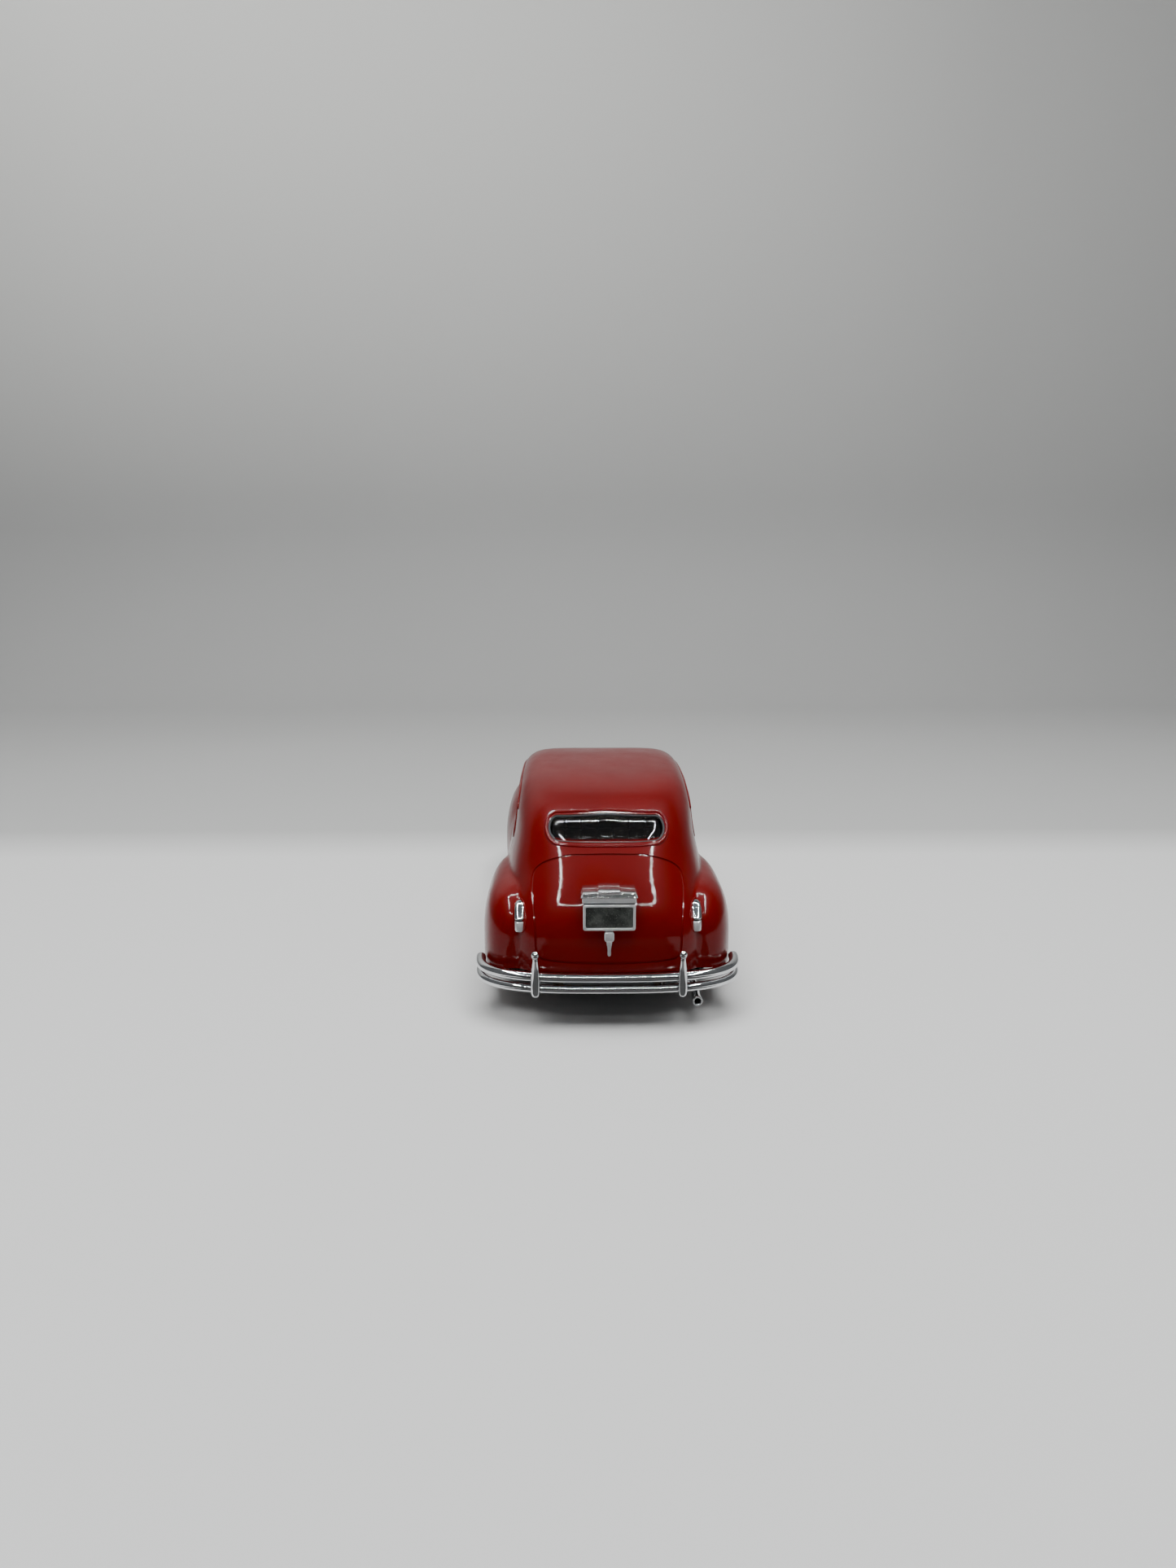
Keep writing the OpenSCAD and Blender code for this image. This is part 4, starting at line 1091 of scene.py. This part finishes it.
def make_tail_lamps():
    hood = [
        (18.42, 0.96, 0.98), (18.5, 1.04, 1.08), (18.6, 1.08, 1.13), (19.2, 1.09, 1.12), (19.9, 1.08, 1.06),
        (20.4, 1.0, 0.9), (20.8, 0.82, 0.62), (21.05, 0.56, 0.3), (21.15, 0.28, 0.05)]
    waist = [(18.0, 0.72, 0.5), (18.2, 0.76, 0.56), (18.5, 0.76, 0.56), (18.7, 0.7, 0.5)]
    lens = [
        (16.35, 0.7, 0.5), (16.42, 0.86, 0.74), (16.6, 0.92, 0.84), (17.4, 0.95, 0.92), (17.95, 0.95, 0.94),
        (18.05, 0.93, 0.92), (18.12, 0.86, 0.82)]
    turns = np.radians(np.arange(0, 360, 30))
    ring = [(TAIL_LAMP_Y + 1.22 * math.cos(a), 18.75 + 2.55 * math.sin(a)) for a in turns]
    rim = smooth_path(ring, 0.3, True)
    for side, tag in ((1, "left"), (-1, "right")):
        cover = shell_on_fender(f"tail_lamp_hood_{tag}", hood, side, "chrome")
        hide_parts(f"tail_lamp_{tag}")
        shell_on_fender(f"tail_lamp_waist_{tag}", waist, side, "dark")
        shell_on_fender(f"tail_lamp_lens_{tag}", lens, side, "satin")
        path = on_tail(side * rim[:, 0], rim[:, 1])
        bead(f"tail_lamp_seat_{tag}", path, 0.16, "paint", "body_paint", True, 8, 0.7)


def make_exhaust():
    place = span("exhaust_pipe")[0] + np.array([0, 0.9, 0.9])
    profile = [
        (0.6, 6), (0.6, 0.1), (0.64, 0.03), (0.72, 0), (0.84, 0.03), (0.9, 0.12), (0.9, 0.7), (0.82, 0.85),
        (0.82, 16.9), (0.4, 17)]
    pipe = lathe("exhaust_tube", profile, place, ALONG, 40, "chrome", CAR, 50)
    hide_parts("exhaust_pipe")
    plug = [(0, 5.6), (0.62, 5.6), (0.62, 0.35), (0.59, 0.35), (0.59, 5.5), (0, 5.5)]
    lathe("exhaust_bore", plug, place, ALONG, 32, "dark", CAR, 50)
    hanger = framed(-50, -48, -15.9, -14.35, 0.2, 3)
    prism("exhaust_hanger", hanger, 4.65, 5.68, 2, 0.08, "chrome")


def make_grille():
    radius = 17.2
    centre = 57.7 - radius

    def arc(shrink, degrees, count):
        turns = np.radians(np.linspace(-degrees, degrees, count))
        return np.stack([centre + (radius - shrink) * np.cos(turns), (radius - shrink) * np.sin(turns)], -1)

    for k in range(6):
        path = np.column_stack([arc(0, 26, 60), np.full(60, 10.9 + 7 * k / 5)])
        vertices, faces = tube_mesh(path, 0.42, 14, False, UP, 0.95)
        solid(f"grille_bar_{k + 1}", vertices, faces, "chrome", angle=50)
    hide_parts("radiator_grille")
    for k, a in enumerate((-24, -12, 12, 24)):
        turn = math.radians(a)
        x, y = centre + (radius - 0.6) * math.cos(turn), (radius - 0.6) * math.sin(turn)
        outline = framed(x - 0.7, x + 0.45, y - 0.3, y + 0.3, 0.14)
        prism(f"grille_upright_{k + 1}", outline, 10.5, 18.0, 2, 0.1, "chrome")
    backing = np.vstack([arc(1.6, 27, 40), arc(2.6, 27, 40)[::-1]])
    prism("grille_backing", backing, 10.2, 18.1, 2, 0.08, "dark", None)
    surround = loop_on(grown(GRILLE_HOLE, 0.3), partial(on_front, start=10.0))
    bead("grille_surround", surround, 0.34, "chrome", "bright_trim", True, 12, 0.75, 0.02)


def make_headlamps():
    rim = [
        (3.3, 55.2), (3.3, 57.6), (3.34, 57.95), (3.5, 58.2), (3.7, 58.28), (3.92, 58.2), (4.06, 57.98),
        (4.1, 57.6), (4.05, 56.6), (3.85, 55.6), (3.75, 55.2)]
    bowl = [
        (0, 54.2), (0.7, 54.25), (1.6, 54.6), (2.5, 55.4), (3.1, 56.5), (3.28, 57.5), (3.45, 57.4),
        (3.4, 56.2), (2.8, 54.9), (1.8, 54), (0, 53.85)]
    for side, tag in ((1, "left"), (-1, "right")):
        centre = (0, side * LAMP_Y, LAMP_Z)
        bezel = lathe(
            f"headlamp_rim_{tag}", rim, centre, ALONG, 72, "chrome", closed=True)
        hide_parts(f"headlamp_bezel_{tag}")
        trim_lathe(f"headlamp_bowl_{tag}", bowl, centre, ALONG, 64, "reflector")
        make_headlamp_lens(tag, side)


def make_headlamp_lens(tag, side):
    """A domed lens with upright flutes on its front."""
    rings, spokes = 26, 96
    radius = 3.22
    front, back = [], []
    for r in range(rings + 1):
        share = r / rings
        dome = 57.95 + 0.8 * math.sqrt(max(0, 1 - (share * 0.985) ** 2))
        for k in range(spokes):
            a = 2 * math.pi * k / spokes
            y, z = radius * share * math.cos(a), radius * share * math.sin(a)
            flute = 0.05 * math.cos(y * 2 * math.pi / 0.62) * min(1, (1 - share) * 6)
            front.append((dome + flute, side * LAMP_Y + y, LAMP_Z + z))
            back.append((dome - 0.35 - 0.25 * (1 - share), side * LAMP_Y + y, LAMP_Z + z))
    offset = len(front)
    faces = []
    for quad in ring_faces(rings + 1, spokes):
        faces += [quad, tuple(q + offset for q in quad[::-1])]
    rim = rings * spokes
    for k in range(spokes):
        m = (k + 1) % spokes
        faces.append((rim + k, rim + m, offset + rim + m, offset + rim + k))
    name = f"headlamp_glass_{tag}"
    obj = mesh_object(name, front + back, faces, "lens", CAR, True, 60)
    welded(obj)
    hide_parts(f"headlamp_lens_{tag}")


def make_ornament():
    """A strip along the hood: [x, half width, height over the hood]."""
    stations = np.array([
        (36, 0.15, 0.1), (37, 0.3, 0.3), (41, 0.42, 0.4), (46, 0.5, 0.5), (50, 0.55, 0.7), (53, 0.55, 1),
        (55, 0.5, 1.35), (56.2, 0.42, 1.5), (57, 0.25, 1.3)])
    x = np.linspace(36, 57, 90)
    half = np.interp(x, stations[:, 0], stations[:, 1])
    rise = np.interp(x, stations[:, 0], stations[:, 2])
    count = 15
    turns = np.linspace(0, math.pi, count)
    vertices = []
    for k in range(len(x)):
        z = top_z(x[k]) - 0.15 + (rise[k] + 0.15) * np.sin(turns) ** 0.8
        vertices.append(np.column_stack([np.full(count, x[k]), half[k] * np.cos(turns), z]))
    faces = ring_faces(len(x), count) + end_caps(len(x), count)
    obj = solid("hood_strip", np.concatenate(vertices), faces, "chrome", angle=60)
    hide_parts("hood_ornament")


# ---------------------------------------------------------------- wheels
def wheel_lathe(name, profile, x, side, material, body):
    centre = (x, side * WHEEL_Y, AXLE_Z)
    return lathe(name, profile, centre, (0, side, 0), 96, material, body, 50, True)


def make_wheels():
    for end, x in (("rear", REAR_X), ("front", FRONT_X)):
        body = f"{end}_axle_set"
        for side, tag in ((1, "left"), (-1, "right")):
            make_wheel(f"{end}_wheel_{tag}", x, side, body)
            make_tyre(f"{end}_tyre_{tag}", x, side, body)


def make_wheel(node, x, side, body):
    disc = [
        (1.01, -4.3), (1.7, -4.3), (1.78, -4.2), (1.78, -0.7), (4.5, -0.6), (4.6, -0.8), (4.6, -2.1),
        (4.75, -2.2), (5.28, -2.2), (5.28, 1.95), (5.2, 2.05), (5.02, 2.06), (4.9, 1.95), (4.72, 1.2),
        (4.5, 0.85), (4.1, 0.72), (3.7, 0.8), (3.3, 0.6), (1.01, 0.55)]
    rim = wheel_lathe(node + "_disc", disc, x, side, "paint", body)
    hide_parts(node)
    cap = [
        (0, 2.04), (0.5, 2.02), (0.62, 1.94), (0.7, 1.95), (1.2, 1.9), (1.9, 1.7), (2.5, 1.42), (2.9, 1.16),
        (3.1, 1.0), (3.25, 0.98), (3.38, 0.86), (3.36, 0.6), (0, 0.6)]
    wheel_lathe(node + "_hub_cap", cap, x, side, "chrome", body)
    trim = [(4.86, 2.0), (4.98, 2.1), (5.16, 2.12), (5.27, 2.04), (5.27, 1.8), (4.84, 1.8)]
    wheel_lathe(node + "_trim_ring", trim, x, side, "chrome", body)


def make_tyre(node, x, side, body):
    """A turned profile of (radius, half width) with every third tread block cut down."""
    outer = [
        (5.31, 1.9), (5.42, 2.08), (5.7, 2.17), (5.95, 2.18), (6.05, 2.1), (6.15, 2.18), (6.5, 2.2),
        (6.75, 2.19), (6.85, 2.12), (6.95, 2.16), (7.3, 2.04), (7.65, 1.82), (7.95, 1.55), (8.12, 1.35),
        (8.24, 1.25), (8.27, 1.1), (8.0, 1.05), (8.0, 0.85), (8.29, 0.8), (8.3, 0.5), (8.29, 0.32),
        (8.02, 0.27), (8.02, 0.08), (8.3, 0.03)]
    profile = np.array(outer + [(a, -b) for a, b in outer[::-1]])
    shoulder = (np.abs(profile[:, 1]) > 1.2) & (profile[:, 0] > 7.9)
    sides = 180
    vertices = []
    for i in range(sides):
        turn = 2 * math.pi * i / sides
        ring = profile.copy()
        if (i // 2) % 3 == 0:
            ring[shoulder, 0] -= 0.16
        spoke = np.array([math.cos(turn), 0, math.sin(turn)])
        place = np.array([x, side * WHEEL_Y, AXLE_Z]) + ring[:, :1] * spoke
        place[:, 1] += side * ring[:, 1]
        vertices.append(place)
    faces = ring_faces(sides, len(profile), True)
    obj = solid(node + "_rubber", np.concatenate(vertices), faces, "tyre", "tyre_rubber", 32, body)
    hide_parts(node)


# ---------------------------------------------------------------- cabin
def cushion(name, low, high, bevel, pleats=0):
    """A padded block with rounded edges and pleats across its top."""
    low, high = np.array(low), np.array(high)
    size, middle = high - low, (high + low) / 2
    work = bmesh.new()
    bmesh.ops.create_cube(work, size=1.0)
    for v in work.verts:
        v.co = Vector((np.array(v.co) * size + middle) * MM)
    bmesh.ops.bevel(work, geom=list(work.edges), offset=bevel * MM, segments=5, profile=0.5, affect="EDGES")
    data = bpy.data.meshes.new(name)
    work.to_mesh(data)
    work.free()
    obj = linked(name, data)
    pleat_lines = [low[1] + size[1] * k / pleats for k in range(1, pleats)]
    for y in pleat_lines:
        slice_mesh(obj, y)
    press_pleats(obj, middle, pleat_lines)
    finish_object(obj, "seat", CAR, True, 60)
    return obj


def slice_mesh(obj, y):
    for offset in (-0.25, 0.0, 0.25):
        with editing(obj) as work:
            everything = list(work.verts) + list(work.edges) + list(work.faces)
            place = (0, y * MM + offset * MM, 0)
            bmesh.ops.bisect_plane(work, geom=everything, plane_co=place, plane_no=(0, 1, 0))


def press_pleats(obj, middle, pleat_lines):
    for v in obj.data.vertices:
        if any(abs(v.co.y / MM - y) < 0.02 for y in pleat_lines):
            v.co.x += (middle[0] * MM - v.co.x) * 0.06
            v.co.z += (middle[2] * MM - v.co.z) * 0.1


def cabin_lathe(name, profile, centre, axis, sides, material):
    lathe(name, profile, centre, axis, sides, material, CAR, 50)


def make_cabin():
    floor_piece = cushion("cabin_floor", (-33, -17.3, 19.82), (13.3, 17.3, 20.8), 0.25)
    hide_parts("interior_tub")
    cushion("rear_seat", (-30.4, -15.3, 20.6), (-20.1, 15.3, 24.2), 1.1, 9)
    cushion("rear_seat_back", (-33, -14, 20.7), (-29.7, 14, 30.15), 1.2, 9)
    cushion("front_seat", (-12.4, -15.3, 20.6), (-2.1, 15.3, 24.2), 1.1, 9)
    cushion("front_seat_back", (-13.4, -14, 20.7), (-10.3, 14, 29.75), 1.2, 9)
    cushion("parcel_shelf", (-40.9, -11.5, 27.25), (-32.6, 11.5, 28.15), 0.3)
    cushion("dashboard", (10.4, -14.9, 20.7), (13.3, 14.9, 27.35), 0.9)
    dial = [
        (0, -0.28), (0.7, -0.28), (0.85, -0.22), (0.95, -0.3), (1.08, -0.26), (1.12, -0.1), (1.12, 0.1),
        (0, 0.1)]
    for k, y in enumerate((5.2, 8.0, 10.8)):
        cabin_lathe(f"dash_dial_{k + 1}", dial, (10.42, y, 25.4), ALONG, 32, "ivory")
    leg = [(0, 6.95), (1.5, 6.95), (1.4, 7.3), (1.3, 12), (1.4, 19.3), (1.7, 19.85), (0, 19.85)]
    for side, tag in ((1, "left"), (-1, "right")):
        cabin_lathe(f"cabin_leg_{tag}", leg, (6, side * 10, 0), UP, 32, "seat")
    make_steering_wheel()


def make_steering_wheel():
    centre = np.array([3.4, 8, 27.2])
    tilt = math.radians(112)
    axis = np.array([math.sin(tilt), 0, math.cos(tilt)])
    side = np.array([0, 1.0, 0])
    other = np.cross(axis, side)
    turns = np.linspace(0, 2 * math.pi, 73)[:-1]
    path = centre + 3.1 * (np.cos(turns)[:, None] * side + np.sin(turns)[:, None] * other)
    vertices, faces = tube_mesh(path, 0.3, 12, True, axis)
    hoop = solid("steering_hoop", vertices, faces, "ivory", "cabin_plastic")
    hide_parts("steering_wheel")
    column = [
        (0, -0.35), (0.35, -0.33), (0.6, -0.2), (0.7, 0.1), (0.62, 0.5), (0.42, 0.8), (0.4, 7.2), (0, 7.25)]
    cabin_lathe("steering_column", column, centre, axis, 28, "ivory")
    for k in range(3):
        turn = math.radians(120 * k + 90)
        reach = math.cos(turn) * side + math.sin(turn) * other
        spoke_path = np.array([centre + reach * r + axis * 0.05 for r in np.linspace(0.3, 3.05, 12)])
        radius = np.linspace(0.26, 0.17, 12)
        vertices, faces = tube_mesh(spoke_path, radius, 10, False, axis)
        solid(f"steering_spoke_{k + 1}", vertices, faces, "ivory", "cabin_plastic", 60)


# ---------------------------------------------------------------- kept nodes
def dress_kept_nodes():
    """The motor, axles and chassis keep the CAD's own shapes."""
    kept = {
        "chassis": ["chassis_plate"],
        "brass": ["motor_side_left", "motor_side_right", "axle_gear", "layshaft_gear"],
        "iron": ["flywheel"],
        "steel": [
            "chassis_screws", "motor_pillars", "rear_axle", "front_axle", "layshaft", "flywheel_shaft"]}
    for material, names in kept.items():
        for name in names:
            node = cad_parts[name]
            node.data.materials.clear()
            node.data.materials.append(MATERIALS[material])


# ---------------------------------------------------------------- stage
UNSEEN_BY = ("diffuse", "camera", "shadow")


def stage_material():
    s = Shader("backdrop_painted_light_and_shade", Specular_IOR_Level=0.2, Roughness=0.7)
    place = s.node("ShaderNodeSeparateXYZ", {"Vector": s.where})
    # Light and shade are painted onto the backdrop by position. It is painted darker past x = 0.055 m and
    # darker again further back. It is painted lighter higher up, most of all on the +Y side.
    ahead = s.fit(place.outputs["X"], 0.055, 0.085, 0.0, 1.0)
    far = s.fit(place.outputs["X"], 0.08, 0.3, 0.0, 1.0)
    height = s.fit(place.outputs["Z"], 0.1, 0.42, 0.0, 1.0)
    left = s.fit(place.outputs["Y"], -0.25, 0.3, 0.25, 1.0)
    near_tone, painted_edge_shade = (0.655, 0.66, 0.655), (0.42, 0.425, 0.42)
    painted_far_shade, painted_top_light = (0.385, 0.387, 0.382), (0.93, 0.935, 0.9)
    floor_with_painted_shade = s.mix(ahead, near_tone, painted_edge_shade)
    backdrop_with_painted_shade = s.mix(far, floor_with_painted_shade, painted_far_shade)
    painted_light_and_shade = s.mix(s.math("MULTIPLY", height, left), backdrop_with_painted_shade, painted_top_light)
    cloud = s.fit(s.noise(5, 3, 0.5), 0.3, 0.7, 0.0, 0.04)
    return s.surface(s.mix(cloud, painted_light_and_shade, (0.8, 0.8, 0.8)))


def stage_mesh(name, vertices, faces, material, hidden_from=()):
    data = bpy.data.meshes.new(name)
    data.from_pydata(vertices, [], faces)
    data.materials.append(material)
    obj = linked(name, data)
    for rays in hidden_from:
        setattr(obj, "visible_" + rays, False)
    return obj


def make_stage():
    """A pale floor that curves up into a back wall."""
    start, foot, radius, rise, half = -0.3, 0.36, 0.12, 0.8, 0.9
    profile = [(start, 0.0)]
    for k in range(17):
        turn = math.pi / 2 * k / 16
        profile.append((foot + radius * math.sin(turn), radius - radius * math.cos(turn)))
    profile.append((foot + radius, rise))
    vertices, faces = [], []
    for x, z in profile:
        vertices += [(x, -half, z), (x, half, z)]
    for k in range(len(profile) - 1):
        faces.append((2 * k, 2 * k + 2, 2 * k + 3, 2 * k + 1))
    floor = stage_mesh("backdrop", vertices, faces, stage_material())
    set_smooth(floor.data)


def area_light(name, place, aim, size, energy):
    """A soft lamp that leaves no highlight of its own."""
    data = bpy.data.lights.new(name, "AREA")
    data.shape = "RECTANGLE"
    data.size, data.size_y = size
    data.energy = energy
    light = linked(name, data)
    light.location = place
    light.rotation_euler = (Vector(aim) - Vector(place)).to_track_quat("-Z", "Y").to_euler()
    light.visible_glossy = False
    light.visible_transmission = False


def glow_material():
    material = bpy.data.materials.new("lamp_glow")
    material.use_nodes = True
    tree = material.node_tree
    tree.nodes.remove(tree.nodes["Principled BSDF"])
    glow = tree.nodes.new("ShaderNodeEmission")
    glow.inputs["Strength"].default_value = 420
    tree.links.new(glow.outputs[0], tree.nodes["Material Output"].inputs["Surface"])
    return material


def light_string():
    """A closed loop of small lamps overhead, seen only as highlights."""
    height, half = 0.62, 0.0045
    left = [
        (0.2, 0.22), (0.16, 0.27), (-0.1, 0.285), (-0.3, 0.335), (-0.43, 0.35), (-0.53, 0.27), (-0.57, 0.14)]
    corners = [(0.2, 0)] + left + [(-0.58, 0)] + [(x, -y) for x, y in left[::-1]]
    vertices, faces = [], []
    for x, y in smooth_path(corners, 0.0165, True):
        n = len(vertices)
        for a, b in ((-half, -half), (half, -half), (half, half), (-half, half)):
            vertices.append((x + a, y + b, height))
        faces.append((n, n + 3, n + 2, n + 1))
    stage_mesh("light_string", vertices, faces, glow_material(), UNSEEN_BY)


def painted_reflection_card(name, corners, material):
    """A dark sheet that stands in for the unlit room, seen only in the paint and the bright trim as a
    painted dark reflection.
    """
    hidden_from = UNSEEN_BY + ("transmission",)
    stage_mesh(name, corners, [(0, 1, 2, 3)], MATERIALS[material], hidden_from)


def painted_reflection_floor_card(name, back, back_half, front, front_half, material):
    lift = 0.0004
    corners = [(back, -back_half), (back, back_half), (front, front_half), (front, -front_half)]
    painted_reflection_card(name, [(x, y, lift) for x, y in corners], material)


def make_painted_reflection_cards():
    # Painted reflections: a dark wall behind the camera, and a dark and a grey floor strip behind the car,
    # which darken what the paint and the trim reflect.
    painted_reflection_card(
        "painted_dark_reflection_end", [(-0.85, -1.4, -0.2), (-0.85, 1.4, -0.2), (-0.85, 1.4, 0.4), (-0.85, -1.4, 0.4)], "dark")
    painted_reflection_floor_card("painted_dark_reflection_foot", -0.118, 0.05, -0.064, 0.035, "dark")
    painted_reflection_floor_card("painted_grey_reflection_foot", -0.31, 0.16, -0.118, 0.05, "shade")


def make_lights():
    world = bpy.data.worlds.new("dim_room")
    world.use_nodes = True
    sky = world.node_tree.nodes["Background"].inputs
    sky["Color"].default_value = (0.62, 0.64, 0.66, 1)
    sky["Strength"].default_value = 0.2
    bpy.context.scene.world = world
    area_light("ceiling_soft", (-0.1, 0.0, 0.62), (-0.1, 0.0, 0.0), (0.5, 0.55), 7.2)
    area_light("wall_wash", (0.2, 0.42, 0.7), (0.48, 0.4, 0.5), (0.2, 0.2), 0.6)
    light_string()
    make_painted_reflection_cards()


# ---------------------------------------------------------------- build
def main():
    make_camera()
    make_materials()
    make_stage()
    make_lights()
    make_body()
    make_glazing()
    make_window_trim()
    make_bumper("rear_bumper", -1)
    make_bumper("front_bumper", 1)
    make_plate_bracket()
    make_trunk_handle()
    make_tail_lamps()
    make_exhaust()
    make_grille()
    make_headlamps()
    make_ornament()
    make_wheels()
    make_cabin()
    dress_kept_nodes()


main()
